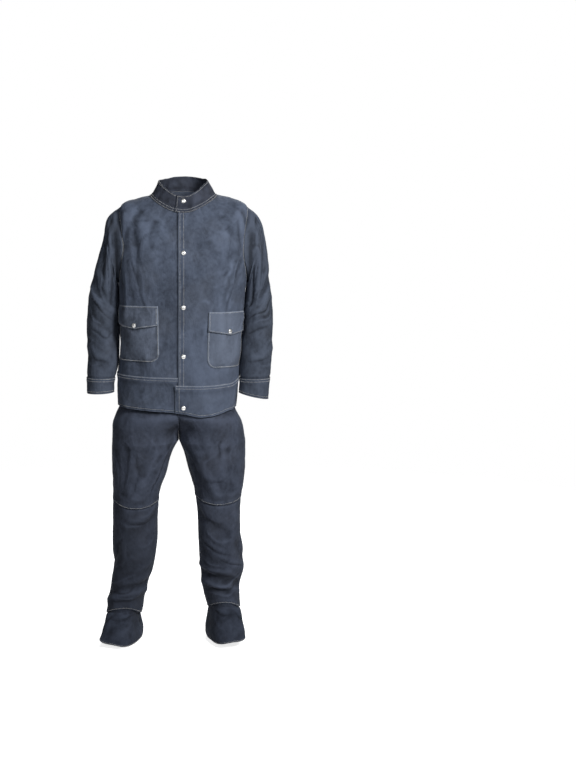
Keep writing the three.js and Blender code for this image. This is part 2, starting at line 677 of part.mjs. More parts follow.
// Folds of the legs: places are the angle round the leg, 0 at the inseam and 90 at the front, and the row.
const LEG_FOLDS = [
  { from: [60, 0.8], to: [85, 3.2], height: 4, wide: 20 },
  { from: [112, 0.5], to: [120, 3], height: -4, wide: 18 },
  { from: [40, 4.5], to: [105, 5.3], height: 3.5, wide: 17 },
  { from: [30, 5], to: [110, 5.9], height: -3.5, wide: 17 },
  { from: [140, 6.4], to: [172, 7.2], height: -6, wide: 18 },
  { from: [20, 6.2], to: [90, 6.7], height: 3, wide: 18 },
  { from: [30, 8.1], to: [150, 8.7], height: -6, wide: 16 },
  { from: [20, 8.6], to: [160, 9.15], height: 5, wide: 15 },
  { from: [15, 7.6], to: [100, 8], height: 4, wide: 16 },
  { from: [200, 5.6], to: [320, 6], height: -6, wide: 22 },
  { from: [190, 6.6], to: [330, 7.2], height: 5, wide: 22 },
  { from: [200, 8.1], to: [340, 8.5], height: -6, wide: 18 },
];
const LEG_STRETCH = [1.35, 58];

const crotchLevel = -WAIST_DEPTH_BELOW_NECK - RISE;

function legSurface(rows, side) {
  const seamX = CENTRE_LEAN + (side * SEAM_GAP) / 2;
  const ring = (angle, t) => {
    const c = rounded(cos(angle * DEGREE), column(rows, "square", t));
    const s = rounded(sin(angle * DEGREE), column(rows, "square", t));
    const out = STANCE * column(rows, "out", t);
    const inner = STANCE * column(rows, "in", t);
    const front = max(0, sin(angle * DEGREE));
    const rear = max(0, -sin(angle * DEGREE));
    const dip = column(rows, "dip", t) * front * front + column(rows, "tail", t) * rear * rear;
    return V(
      lerp(out, inner, 0.5 + 0.5 * c),
      column(rows, "mid", t) - LEG_HALF_DEPTH * column(rows, "deep", t) * s,
      crotchLevel - LEG_LENGTH * column(rows, "drop", t) - dip,
    );
  };
  // Above the crotch the leg opens into half of the hips, and its edges run up the two centre seams.
  const hip = (angle, t) => {
    const bodyAngle = side * (angle / 2);
    const z = -WAIST_DEPTH_BELOW_NECK - RISE * column(HIP, "drop", t);
    const level = min(HEM, rowAtSide(z));
    const front = ease((90 - abs(bodyAngle)) / 60);
    const slack = column(HIP, "slack", t) + FRONT_SLACK * front * ease((HIP_CONTACT + 0.6 - t) / 0.5);
    const place = bodyShape(bodyAngle, level, LEATHER + LAP_GAP + slack);
    place.z = z;
    const opening = ease((t - HIP_CONTACT) / (HIP.length - 1 - HIP_CONTACT));
    const meet = ring(angle, 0);
    place.lerp(V(meet.x, meet.y, z), opening);
    const distance = side * (place.x - seamX);
    if (distance < 0 || angle < 0.01 || angle > 359.99) place.x = seamX;
    return place;
  };
  const shape = (angle, t) => (t < 0 ? hip(angle, t + HIP.length - 1) : ring(angle, t));
  const folded = (angle, t) => {
    const fade = ease(t / 0.6) * ease((TROUSER_HEM - t) / 0.5) * ease(abs(t - KNEE_SEAM) / 0.25);
    return fade * foldHeight(LEG_FOLDS, [angle, t], LEG_STRETCH);
  };
  // Edge columns take the normal a little inside the edge, where the surface is smooth.
  return (angle, t, depth) => {
    const inside = min(358, max(2, angle));
    const normal = normalOf(shape, inside, t, -side);
    const place = shifted(shape(angle, t), normal, folded(angle, t));
    if (t <= 0 && (angle < 0.01 || angle > 359.99)) normal.x = 0;
    return shifted(place, normal.normalize(), -depth);
  };
}

function rowAtSide(z) {
  let [low, high] = [SHOULDER_TIP, HEM];
  for (let i = 0; i < 30; i++) {
    const mid = (low + high) / 2;
    if (bodyShape(90, mid).z > z) low = mid;
    else high = mid;
  }
  return low;
}

const INSEAM_TRIM = 0.25;
function legGrid(place, rowList, depth) {
  return rowList.map((t) =>
    steps(0, 360, LEG_COLUMNS).map((angle) => {
      const trimmed = t > 0 ? lerp(INSEAM_TRIM, 360 - INSEAM_TRIM, angle / 360) : angle;
      return place(trimmed, t, depth);
    }),
  );
}

const HIP_ROWS = [-5, -4, -3, -2, -1.5, -1, -0.75, -0.5, -0.25, -0.02];
const THIGH_ROWS = [...HIP_ROWS, ...steps(0.5, KNEE_SEAM - SEAM_SHARE, 5)];
const SHIN_ROWS = steps(KNEE_SEAM + SEAM_SHARE, TROUSER_HEM, 11);
const legs = [
  { name: "right", side: -1, rows: LEG_RIGHT },
  { name: "left", side: 1, rows: LEG_LEFT },
];
for (const leg of legs) {
  leg.place = legSurface(leg.rows, leg.side);
  const part = (rowList, depth) => legGrid(leg.place, rowList, depth);
  add(`trouser_thigh_${leg.name}`, leatherSolid(part(THIGH_ROWS, 0), part(THIGH_ROWS, LEATHER)));
  add(`trouser_shin_${leg.name}`, leatherSolid(part(SHIN_ROWS, 0), part(SHIN_ROWS, LEATHER)));
}

// Waistband: one plain band on the top edge of both halves.
function waistbandRing(z, depth) {
  const level = rowAtSide(-WAIST_DEPTH_BELOW_NECK);
  return steps(0, 360, 4 * QUARTER).slice(0, -1).map((angle) => {
    const front = ease((90 - abs(wrapped(angle))) / 60);
    const place = bodyShape(angle, level, LEATHER + LAP_GAP + HIP[0].slack + FRONT_SLACK * front + depth);
    place.z = z;
    return place;
  });
}
const waistLevels = [-WAIST_DEPTH_BELOW_NECK + WAISTBAND_HEIGHT, -WAIST_DEPTH_BELOW_NECK + SEAM_GAP];
add(
  "waistband",
  leatherSolid(
    waistLevels.map((z) => waistbandRing(z, 0)),
    waistLevels.map((z) => waistbandRing(z, LEATHER)),
    true,
  ),
);

// Foot covers

// Rows from the trouser hem down to the open lower edge, over the boot's instep and heel.
// drop is a share of FOOT_COVER_DROP below the trouser hem.
// instep, heel and wide are shares of their sizes; rise lifts the front and slant its outer corner, in mm.
const FOOT_COVER = [
  { drop: 0.1, instep: 0.56, heel: 0.79, wide: 0.86, rise: 16, slant: 0 },
  { drop: 0.42, instep: 0.66, heel: 0.88, wide: 0.94, rise: 14, slant: 3 },
  { drop: 0.74, instep: 0.85, heel: 0.97, wide: 1.02, rise: 2, slant: 7 },
  { drop: 1, instep: 1, heel: 1, wide: 1, rise: 14, slant: 12 },
];
const FEET = {
  right: { toe: [-0.31, -0.951], longer: 1 },
  left: { toe: [0.23, -0.973], longer: 1.13 },
};
const HEEL_RISE = 12;
const COVER_ROWS = 2;

for (const leg of legs) {
  const [toeX, toeY] = FEET[leg.name].toe;
  const length = FOOT_COVER_DROP * FEET[leg.name].longer;
  const hemRow = leg.rows[TROUSER_HEM];
  const ankle = V((STANCE * (hemRow.out + hemRow.in)) / 2, hemRow.mid, 0);
  const hemLevel = crotchLevel - LEG_LENGTH * hemRow.drop;
  // Where the cover lies inside the trouser leg it follows the leg, touching it over the instep.
  const tucked = (angle, t, depth) => {
    const front = max(0, sin(angle * DEGREE));
    const slack = 7 * (1 - front * front);
    return leg.place(min(359.5, max(0.5, angle)), t, LEATHER + LAP_GAP + slack + depth);
  };
  const lower = (row, angle, depth) => {
    const along = sin(angle * DEGREE);
    const across = -cos(angle * DEGREE) * leg.side;
    const reach = along > 0 ? INSTEP_LENGTH * row.instep : HEEL_LENGTH * row.heel;
    const square = 2.4 + 1.2 * max(0, along) * row.instep;
    const forward = (reach - depth) * rounded(along, square);
    const sideways = (FOOT_COVER_HALF_WIDTH * row.wide - depth) * rounded(across, square);
    const front = max(0, along);
    const rear = max(0, -along);
    const slant = row.slant * across * leg.side * pow(front, 0.5);
    const lift = row.rise * front + slant + HEEL_RISE * row.drop * rear;
    const x = ankle.x + forward * toeX - sideways * toeY;
    const y = ankle.y + forward * toeY + sideways * toeX;
    return V(x, y, hemLevel - length * row.drop + lift);
  };
  const ring = (make) => steps(0, 360, LEG_COLUMNS).slice(0, -1).map(make);
  const grid = (depth) => [
    ...SHIN_ROWS.slice(-1 - COVER_ROWS).map((t) => ring((angle) => tucked(angle, t, depth))),
    ...FOOT_COVER.map((row) => ring((angle) => lower(row, angle, depth))),
  ];
  add(`foot_cover_${leg.name}`, leatherSolid(grid(0), grid(LEATHER), true));
}

export default suit;
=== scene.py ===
# Split-leather welding suit as it hangs when worn: stand-collar jacket, trousers and foot covers.
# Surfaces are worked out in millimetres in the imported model's frame, and become meshes in metres.
import math

import bmesh
import bpy
import numpy as np
from mathutils import Matrix, Vector


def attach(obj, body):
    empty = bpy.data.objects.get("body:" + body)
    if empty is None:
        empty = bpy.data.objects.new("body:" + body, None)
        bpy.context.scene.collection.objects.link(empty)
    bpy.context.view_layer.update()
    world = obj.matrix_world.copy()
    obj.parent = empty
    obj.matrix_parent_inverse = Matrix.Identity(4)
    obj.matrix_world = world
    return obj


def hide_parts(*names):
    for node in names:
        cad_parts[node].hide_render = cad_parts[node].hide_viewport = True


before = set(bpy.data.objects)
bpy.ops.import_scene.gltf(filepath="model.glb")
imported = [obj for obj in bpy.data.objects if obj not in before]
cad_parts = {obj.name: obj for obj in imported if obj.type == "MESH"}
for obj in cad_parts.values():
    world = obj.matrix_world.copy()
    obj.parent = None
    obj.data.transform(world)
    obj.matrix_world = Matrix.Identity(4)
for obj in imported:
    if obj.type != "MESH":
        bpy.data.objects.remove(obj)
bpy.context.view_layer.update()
MM = 0.001

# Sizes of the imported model
LEATHER = 2
LAP_GAP = 0.5
CLOSURE_GAP = 1.1
CHEST_HALF_WIDTH = 203
FRONT_DEPTH = 138
BACK_DEPTH = 124
JACKET_LENGTH = 668
COLLAR_HEIGHT = 47
SLEEVE_LENGTH = 545
SLEEVE_SPREAD = 106
SLEEVE_DEPTH = 66
FRONT_LAP = 17
UNDERLAP = 20
POCKET_HEIGHT = 174
FLAP_HEIGHT = 60
FLAP_POINT = 12
POCKET_FULLNESS = 3
WAIST_DEPTH_BELOW_NECK = 430
WAISTBAND_HEIGHT = 38
RISE = 342
LEG_LENGTH = 585
LEG_HALF_DEPTH = 118
STANCE = 232
CENTRE_LEAN = -15
FOOT_COVER_DROP = 88
FOOT_COVER_HALF_WIDTH = 57
INSTEP_LENGTH = 134
HEEL_LENGTH = 78

# Finish sizes that only show up close
SKIN = 1.8
GRID_PITCH = 3.6
STITCH_PITCH = 4.4
STITCH_LENGTH = 3.3
STITCH_WIDTH = 1.45
STITCH_ROW_GAP = 7.5
STITCH_LIFT = 0.12
SHOULDER_SETTLE = 5
SLEEVE_REST = -0.5
OVER_BAND = 3.2


def table(columns, *rows):
    """Named columns of numbers, one array for each column."""
    return {name: np.array([row[i] for row in rows], float) for i, name in enumerate(columns)}


def lerp(a, b, k):
    return a + (b - a) * k


def ease(k):
    k = np.clip(k, 0, 1)
    return k * k * (3 - 2 * k)


def rounded(value, squareness):
    return np.sign(value) * np.abs(value) ** (2 / squareness)


def smooth_row(values, t, *places):
    """Smooth interpolation between the rows of values, at row position t."""
    last = len(values) - 1
    i = np.clip(np.floor(t).astype(int), 0, last - 1)
    rows = (np.maximum(0, i - 1), i, i + 1, np.minimum(last, i + 2))
    a, b, c, d = (values[(row, *places)] for row in rows)
    k = (t - i).reshape(i.shape + (1,) * (np.ndim(a) - np.ndim(i)))
    bend = (2 * a - 5 * b + 4 * c - d) * k * k
    return b + 0.5 * ((c - a) * k + bend + (3 * b - a - 3 * c + d) * k * k * k)


def column(rows, key, t):
    """One column of a table at row position t, which may lie between two rows."""
    return smooth_row(rows[key], np.asarray(t))


def points(x, y, z):
    return np.stack(np.broadcast_arrays(x, y, z), axis=-1).astype(float)


def unit(vectors):
    return vectors / np.maximum(1e-9, np.linalg.norm(vectors, axis=-1, keepdims=True))


def normal_of(surface, u, v, turn):
    """Outward unit normal of surface(u, v) by small steps."""
    step = 1e-3
    across = surface(u + step, v) - surface(u - step, v)
    down = surface(u, v + step) - surface(u, v - step)
    return turn * unit(np.cross(across, down))


def moved(places, directions, distance):
    return places + directions * np.asarray(distance)[..., None]


def ripple(places, shortest, longest, seed):
    """Smooth seeded unevenness of about one unit, with wavelengths between two lengths in millimetres."""
    waves = 18
    rng = np.random.default_rng(seed)
    headings = unit(rng.normal(size=(waves, 3)))
    lengths = np.exp(rng.uniform(np.log(shortest), np.log(longest), waves))
    phases = rng.uniform(0, 2 * np.pi, waves)
    turns = places @ (headings * (2 * np.pi / lengths)[:, None]).T + phases
    return np.sin(turns).sum(axis=-1) / math.sqrt(waves / 2)


FOLD = ("from_angle", "from_row", "to_angle", "to_row", "height", "wide")


def beside_lines(lines, u, v, stretch=(1, 1)):
    """For each line of a table: how far along and across it a place lies, its length, height and width."""
    for start_u, start_v, end_u, end_v, height, wide in zip(*lines.values()):
        run = ((end_u - start_u) * stretch[0], (end_v - start_v) * stretch[1])
        offset = ((u - start_u) * stretch[0], (v - start_v) * stretch[1])
        length = math.hypot(*run)
        along = (offset[0] * run[0] + offset[1] * run[1]) / length
        across = (offset[0] * run[1] - offset[1] * run[0]) / length
        yield along, across, length, height, wide


def fold_height(folds, angle, t, stretch):
    """Height of soft ridges, and of valleys where height is negative, along lines on a surface."""
    total = np.zeros(np.broadcast(angle, t).shape)
    for along, across, length, height, wide in beside_lines(folds, angle, t, stretch):
        beyond = np.maximum(0, np.maximum(-along, along - length))
        total += height * np.exp(-(across**2 + beyond**2) / wide**2)
    return total


def crease_height(creases, angle, t, stretch):
    """Height of narrow creases: a sharp line with a soft shoulder on one side, thinning to both ends."""
    total = np.zeros(np.broadcast(angle, t).shape)
    for along, across, length, height, wide in beside_lines(creases, angle, t, stretch):
        across = across + 0.09 * length * np.sin(np.pi * np.clip(along / length, 0, 1))
        taper = np.clip(np.sin(np.pi * np.clip((along + 0.05 * length) / (1.1 * length), 0, 1)), 0, 1)
        sharp = np.exp(-np.abs(across) / (0.55 * wide))
        shoulder = np.exp(-((across - 1.5 * wide) / (1.4 * wide)) ** 2)
        total += height * taper * (sharp - 0.55 * shoulder)
    return total


# The jacket body: drops as shares of JACKET_LENGTH, widths and depths as shares of the half sizes.
BODY = table(
    ("front", "side", "back", "width", "chest", "spine", "square", "lean", "sag"),
    (0.068, -0.008, -0.028, 0.5, 0.7, 0.7, 2, 0, 0),
    (0.14, 0.006, 0.04, 0.735, 0.83, 0.85, 2.15, 0, 0),
    (0.215, 0.043, 0.12, 0.985, 0.93, 0.96, 2.4, 0, 0),
    (0.31, 0.215, 0.25, 1.02, 1, 1.03, 2.5, 0, 0),
    (0.415, 0.4, 0.4, 0.995, 1, 1, 2.5, -0.01, 0),
    (0.63, 0.625, 0.62, 0.955, 0.985, 0.93, 2.45, -0.045, 0),
    (0.847, 0.84, 0.835, 0.945, 1, 1.02, 2.4, -0.075, 0),
    (0.997, 0.984, 0.975, 0.925, 0.985, 1.06, 2.4, -0.098, 0.025),
)
SHOULDER_TIP = 2
ARMPIT = 4
BAND_SEAM = 6
HEM = 7
ARMHOLE_OPENING = 0.33
BODY_STRETCH = (3, 85)
BODY_FOLDS = table(
    FOLD,
    (-52, 1.3, -38, 3.2, -5, 16),
    (-62, 2.2, -56, 4.6, 5, 17),
    (-30, 1.2, -24, 2.4, -3.5, 14),
    (58, 1.8, 60, 3.4, 4, 15),
    (44, 1.4, 40, 3, -4, 17),
    (26, 3.6, 34, 5.2, 3.5, 20),
    (-70, 5.1, -40, 5.75, -4, 20),
    (72, 5, 45, 5.8, 4, 18),
    (80, 5.6, 62, 6.1, -4, 15),
    (-150, 2.6, -140, 4.6, -6, 24),
    (150, 2.6, 140, 4.6, -6, 24),
    (-175, 4.4, -125, 5.5, 4, 26),
    (170, 4.8, 120, 5.6, -4, 24),
)
# Narrower creases of the front, the sides and the back
BODY_CREASES = table(
    FOLD,
    (-34, 1.2, -60, 3.4, -1.7, 11),
    (-46, 1.8, -66, 4.3, 1.6, 12),
    (-22, 1.6, -40, 3.9, -1.6, 9),
    (-48, 3.0, -20, 4.9, -1.8, 11),
    (-36, 3.3, -14, 5.3, 1.5, 12),
    (28, 1.3, 50, 3.0, 1.3, 12),
    (52, 1.6, 64, 3.6, -1.6, 11),
    (64, 2.8, 42, 4.6, 1.6, 12),
    (58, 3.4, 36, 5.1, -1.6, 11),
    (26, 4.2, 12, 5.5, 1.4, 11),
    (-84, 4.4, -50, 5.0, 2.0, 9),
    (-86, 5.1, -58, 5.6, -2.0, 8),
    (84, 4.6, 54, 5.3, 1.8, 9),
    (60, 5.75, 18, 6.0, -1.6, 8),
    (-70, 5.85, -24, 5.7, 1.3, 9),
    (118, 2.6, 146, 4.4, -2.8, 12),
    (-122, 2.6, -150, 4.5, 2.8, 12),
    (132, 3.4, 168, 4.9, 2.2, 12),
    (-136, 3.6, -172, 5.2, -2.2, 12),
    (104, 4.9, 160, 5.4, -2.2, 11),
    (-108, 4.9, -158, 5.5, 2.4, 11),
    (166, 1.2, 172, 3.2, 1.6, 12),
    (-160, 1.4, -168, 3.0, -1.6, 12),
)


def wrapped(angle):
    return angle - 360 * np.round(angle / 360)


SAG_ANGLE = 14


def sag_share(angle):
    """The left front hangs lowest a hand's width from the lap."""
    reach = np.where(angle < SAG_ANGLE, 14, 38)
    return np.exp(-(((angle - SAG_ANGLE) / reach) ** 2))


def armhole_angle(t):
    k = (t - SHOULDER_TIP) / (ARMPIT - SHOULDER_TIP)
    return 90 * ARMHOLE_OPENING * np.sin(np.pi * np.clip(k, 0, 1)) ** 0.75


def body_shape(angle, t, inset=0):
    """The jacket's bare surface at an angle round the body, in degrees, and a row position."""
    drop = column(BODY, "sag", t) * sag_share(wrapped(angle))
    c = np.cos(np.radians(angle))
    s = np.sin(np.radians(angle))
    square = column(BODY, "square", t)
    side = column(BODY, "side", t)
    end = np.where(c > 0, column(BODY, "front", t), column(BODY, "back", t))
    front = FRONT_DEPTH * column(BODY, "chest", t)
    depth = np.where(c > 0, front, BACK_DEPTH * column(BODY, "spine", t))
    width = CHEST_HALF_WIDTH * column(BODY, "width", t)
    return points(
        CHEST_HALF_WIDTH * column(BODY, "lean", t) * s * s + (width - inset) * rounded(s, square),
        -(depth - inset) * rounded(c, square),
        -JACKET_LENGTH * (lerp(side, end, c * c) + drop),
    )


def body_normal(angle, t):
    return normal_of(body_shape, angle, t, -1)


def unevenness(bare, calm=1.0):
    """How unevenly hanging split leather lies: slow waves, short waves and a faint pebbling."""
    slow = 1.5 * ripple(bare, 110, 240, 11)
    short = 0.5 * ripple(bare, 34, 70, 12)
    pebbled = 0.12 * ripple(bare, 12, 22, 13)
    return calm * (slow + short) + pebbled


def body_skin(angle, t):
    """The jacket's outer face with all its folds."""
    bare = body_shape(angle, t)
    place = wrapped(angle)
    fade = ease((BAND_SEAM + 0.2 - t) / 0.8)
    crooked_angle = place + 1.6 * ripple(bare, 90, 220, 21)
    crooked_row = t + 0.03 * ripple(bare, 90, 220, 22)
    lift = fade * fold_height(BODY_FOLDS, place, t, BODY_STRETCH)
    creases = crease_height(BODY_CREASES, crooked_angle, crooked_row, BODY_STRETCH)
    lift = lift + ease((BAND_SEAM + 0.1 - t) / 0.5) * creases
    calm = 1 - 0.75 * np.exp(-((place / 12) ** 2))
    over_shoulder = np.exp(-(((t - 1.7) / 0.5) ** 2) - ((np.abs(place) - 90) / 26) ** 2)
    lift = lift - SHOULDER_SETTLE * over_shoulder
    return moved(bare, body_normal(angle, t), lift + unevenness(bare, calm))


# The front closure and the band seam
TOP_LAYER_EDGE = -5.5
UNDER_LAYER_START = -26
LEFT_SEAM_DROP = 0.19


def under_layer(angle):
    reach = TOP_LAYER_EDGE - 2 - UNDER_LAYER_START
    return (LEATHER + CLOSURE_GAP) * ease((angle - UNDER_LAYER_START) / reach)


def seam_drop(angle):
    cut = LEFT_SEAM_DROP * ease((90 - angle) / 35)
    return np.where((angle > -10) & (angle < 90), cut, 0)


def front_angle(t, x):
    """The angle of a front edge, which keeps its distance from the centre line at every row."""
    width = CHEST_HALF_WIDTH * column(BODY, "width", t)
    return np.degrees(np.arcsin(np.abs(x / width) ** (column(BODY, "square", t) / 2)))


def seam_roll(distance, height=0.9, wide=5):
    """Leather swells beside a row of stitches and sinks into it."""
    swell = 0.4 * height * np.exp(-(((distance - 11) / 7) ** 2))
    return -height * np.exp(-((distance / wide) ** 2)) + swell


def hem_roll(rows_left, row_length):
    """The same beside the stitches of a turned hem."""
    return seam_roll(rows_left * row_length - 8, 0.6, 4)


def body_place(angle, t, out=0.0):
    return moved(body_skin(angle, t), body_normal(angle, t), out)


# Sleeves: falls as shares of the way down to the cuff seam, out and in as shares of SLEEVE_SPREAD.
SLEEVE_COLUMNS = ("outFall", "out", "inFall", "in", "mid", "deep")
SLEEVE_RIGHT = table(
    SLEEVE_COLUMNS,
    (0.03, 0.15, 0.012, 0.09, 4, 1.03),
    (0.07, 0.37, 0.03, 0.1, 5, 1.04),
    (0.12, 0.47, 0.06, 0.11, 6, 1.02),
    (0.2, 0.55, 0.11, 0.1, 7, 1),
    (0.31, 0.7, 0.18, 0.095, 9, 0.98),
    (0.43, 0.84, 0.28, 0.09, 11, 0.95),
    (0.57, 0.95, 0.42, 0.09, 11, 0.93),
    (0.71, 1.01, 0.6, 0.095, 5, 0.9),
    (0.86, 1, 0.8, 0.125, -9, 0.85),
    (1, 1, 1, 0.175, -22, 0.81),
    (1.08, 1, 1.13, 0.17, -30, 0.8),
)
SLEEVE_LEFT = table(
    SLEEVE_COLUMNS,
    (0.03, 0.16, 0.012, 0.09, 4, 1.03),
    (0.07, 0.36, 0.03, 0.08, 5, 1.04),
    (0.12, 0.5, 0.06, 0.07, 6, 1.02),
    (0.2, 0.59, 0.11, 0.05, 7, 1),
    (0.31, 0.66, 0.18, 0.02, 8, 0.98),
    (0.43, 0.68, 0.28, -0.01, 9, 0.95),
    (0.57, 0.75, 0.42, -0.05, 8, 0.93),
    (0.71, 0.785, 0.6, -0.095, 0, 0.9),
    (0.86, 0.755, 0.8, -0.12, -16, 0.85),
    (1, 0.69, 1, -0.14, -32, 0.81),
    (1.11, 0.66, 1.13, -0.16, -42, 0.8),
)
CUFF_SEAM = 9
CUFF_EDGE = 10
SLEEVE_STRETCH = (1.1, 58)
SLEEVE_FOLDS = table(
    FOLD,
    (35, 0.6, 62, 4, -7, 17),
    (70, 1, 88, 4.6, 5, 14),
    (110, 2.2, 118, 5, -7, 14),
    (30, 5.2, 90, 5.9, 4, 14),
    (20, 6.3, 110, 6.6, -4, 14),
    (330, 5, 20, 5.6, 3, 16),
    (15, 7.7, 100, 7.9, 3.5, 13),
    (240, 1.2, 262, 4.2, -6, 20),
    (200, 5.8, 290, 6.3, -5, 16),
)
SLEEVE_CREASES = table(
    FOLD,
    (20, 0.2, 70, 3.6, -3.4, 8),
    (40, 0.1, 96, 3.0, 3.0, 8),
    (84, 0.4, 112, 4.4, -3.0, 8),
    (100, 1.2, 140, 3.4, 2.6, 9),
    (60, 3.0, 100, 5.6, 2.4, 9),
    (20, 3.9, 74, 5.2, -2.2, 8),
    (10, 4.9, 88, 5.5, 3.6, 8),
    (24, 5.6, 116, 5.95, -4.0, 8),
    (8, 6.1, 100, 6.5, 3.2, 8),
    (44, 6.9, 130, 6.6, -3.2, 8),
    (14, 7.2, 70, 7.4, 2.0, 8),
    (40, 7.9, 120, 8.1, -2.0, 7),
    (10, 8.3, 84, 8.35, 1.6, 7),
    (346, 4.4, 396, 4.9, -2.0, 9),
    (300, 5.0, 350, 5.5, 2.4, 10),
    (210, 4.6, 300, 5.3, -3.2, 10),
    (196, 5.8, 286, 5.9, 3.0, 10),
    (214, 6.9, 300, 6.7, -2.4, 10),
    (250, 0.6, 280, 3.6, -3.0, 10),
    (280, 0.8, 306, 3.0, 2.2, 10),
    (140, 4.8, 176, 5.2, -2.6, 9),
    (142, 5.7, 180, 6.0, 2.4, 9),
    (220, 7.9, 300, 7.7, 2.0, 9),
)


def one_place(angle, t):
    return body_shape(np.array([float(angle)]), np.array([float(t)]))[0]


SHOULDER_PLACE = one_place(90, SHOULDER_TIP)
ARMPIT_PLACE = one_place(90, ARMPIT)
CUFF_LEVEL = SHOULDER_PLACE[2] - SLEEVE_LENGTH


def armhole_ring(side, angle):
    """The armhole's edge, at an angle round it from the shoulder tip by the front to the armpit."""
    turn = np.mod(angle, 360)
    t = lerp(SHOULDER_TIP, ARMPIT, np.where(turn <= 180, turn, 360 - turn) / 180)
    edge = 90 + np.where(turn <= 180, -1, 1) * armhole_angle(t)
    return body_place(side * edge, t, 0.0)


SIDE_ROWS = np.linspace(SHOULDER_TIP, HEM, 400)
SIDE_LEVELS = body_shape(90 + 0 * SIDE_ROWS, SIDE_ROWS)[:, 2]


def side_row_at(z):
    """The row position at which the jacket's side reaches a height."""
    return np.interp(-z, -SIDE_LEVELS, SIDE_ROWS)


def flank(side, z):
    """How far out the jacket's side lies at a height."""
    t = side_row_at(z)
    return CHEST_HALF_WIDTH * (column(BODY, "width", t) + side * column(BODY, "lean", t))


def resting(side, t):
    """How far a sleeve lies against the jacket's side; the right cuff hangs clear of it."""
    start = ease((t - 0.5) / 1.2)
    return start * ease((CUFF_SEAM - 0.1 - t) / 1.0) if side < 0 else start


def sleeve(rows, side):
    """The outer face of one sleeve; row -1 is the armhole, and the rest are the rows of the table."""
    mirror = np.array([side, 1, 1])

    def shape(angle, t):
        out_x = SHOULDER_PLACE[0] + SLEEVE_SPREAD * column(rows, "out", t)
        in_x = ARMPIT_PLACE[0] + SLEEVE_SPREAD * column(rows, "in", t)
        out_z = lerp(SHOULDER_PLACE[2], CUFF_LEVEL, column(rows, "outFall", t))
        in_z = lerp(ARMPIT_PLACE[2], CUFF_LEVEL, column(rows, "inFall", t))
        over_band = OVER_BAND * ease((t - 8.5) / 0.5)
        in_x = lerp(in_x, flank(side, in_z) + SLEEVE_REST + over_band, resting(side, t))
        c = rounded(np.cos(np.radians(angle)), 2.15)
        s = rounded(np.sin(np.radians(angle)), 2.15)
        deep = SLEEVE_DEPTH * column(rows, "deep", t)
        return points(
            (out_x + in_x) / 2 + c * (out_x - in_x) / 2,
            column(rows, "mid", t) - deep * s,
            (out_z + in_z) / 2 + c * (out_z - in_z) / 2,
        )

    def place(angle, t, out=0.0):
        low = np.maximum(t, 0)
        bare = shape(angle, low)
        normal = normal_of(shape, angle, low, 1)
        turn = np.mod(angle, 360)
        fade = ease((CUFF_SEAM + 0.1 - low) / 0.8)
        lift = fade * fold_height(SLEEVE_FOLDS, turn, low, SLEEVE_STRETCH)
        crooked_angle = turn + 5 * ripple(bare, 50, 120, 31 + side)
        crooked_row = low + 0.07 * ripple(bare, 50, 120, 41 + side)
        narrow = crease_height(SLEEVE_CREASES, crooked_angle, crooked_row, SLEEVE_STRETCH)
        narrow = narrow + crease_height(SLEEVE_CREASES, crooked_angle + 360, crooked_row, SLEEVE_STRETCH)
        near_armhole = ease((t + 1) / 1.6)
        pressed = 1 - 0.85 * resting(side, low) * np.exp(-(((turn - 180) / 38) ** 2))
        lift = near_armhole * (lift + fade * narrow) + unevenness(bare, near_armhole)
        lift = lift * pressed
        arm = moved(bare, normal, lift + out) * mirror
        if np.all(t >= 0):
            return arm
        k = np.clip(t + 1, 0, 1)[..., None]
        ring = armhole_ring(side, angle)
        middle = ring.mean(axis=tuple(range(ring.ndim - 1)))
        ring = ring + unit(ring - middle) * np.asarray(out)[..., None] * 0.6
        slope = 0.5 * (shape(angle, 1 + 0 * low) - shape(angle, 0 * low)) * mirror
        start = arm - ring
        joined = (
            (2 * k**3 - 3 * k**2 + 1) * ring
            + (k**3 - 2 * k**2 + k) * start
            + (-2 * k**3 + 3 * k**2) * arm
            + (k**3 - k**2) * slope
        )
        return np.where((t < 0)[..., None], joined, arm)

    return place


# Trousers: out and in are shares of STANCE; dip and tail let a row down at the front and at the back.
LEG_COLUMNS = ("drop", "out", "in", "mid", "deep", "dip", "tail", "square")
LEG_RIGHT = table(
    LEG_COLUMNS,
    (0, -1, -0.066, 4, 1, 0, 0, 2.2),
    (0.07, -0.996, -0.16, 4, 0.95, 3, 0, 2.2),
    (0.17, -0.981, -0.236, 3, 0.89, 9, 0, 2.2),
    (0.26, -0.98, -0.31, 2, 0.82, 15, 0, 2.2),
    (0.32, -0.982, -0.345, 2, 0.78, 19, 0, 2.2),
    (0.41, -0.984, -0.359, 5, 0.76, 10, 0, 2.2),
    (0.545, -0.987, -0.362, 14, 0.75, 0, 0, 2.2),
    (0.68, -0.992, -0.405, 28, 0.71, 0, 0, 2.2),
    (0.8, -1.02, -0.487, 43, 0.66, -4, 5, 2.2),
    (0.9, -1.06, -0.553, 53, 0.62, -12, 15, 2.2),
    (1, -1.1, -0.59, 58, 0.62, -26, 30, 2.3),
)
LEG_LEFT = table(
    LEG_COLUMNS,
    (0, 0.851, -0.063, 4, 1, 0, 0, 2.2),
    (0.07, 0.854, 0.007, 4, 0.95, 3, 0, 2.2),
    (0.15, 0.85, 0.06, 3, 0.89, 8, 0, 2.2),
    (0.24, 0.845, 0.13, 2, 0.82, 13, 0, 2.2),
    (0.3, 0.815, 0.162, 2, 0.78, 17, 0, 2.2),
    (0.4, 0.8, 0.193, 5, 0.76, 9, 0, 2.2),
    (0.52, 0.803, 0.206, 14, 0.75, 0, 0, 2.2),
    (0.66, 0.838, 0.222, 28, 0.71, 0, 0, 2.2),
    (0.735, 0.85, 0.24, 37, 0.68, -3, 4, 2.2),
    (0.85, 0.785, 0.275, 51, 0.63, -12, 14, 2.2),
    (0.966, 0.81, 0.338, 58, 0.62, -27, 28, 2.3),
)
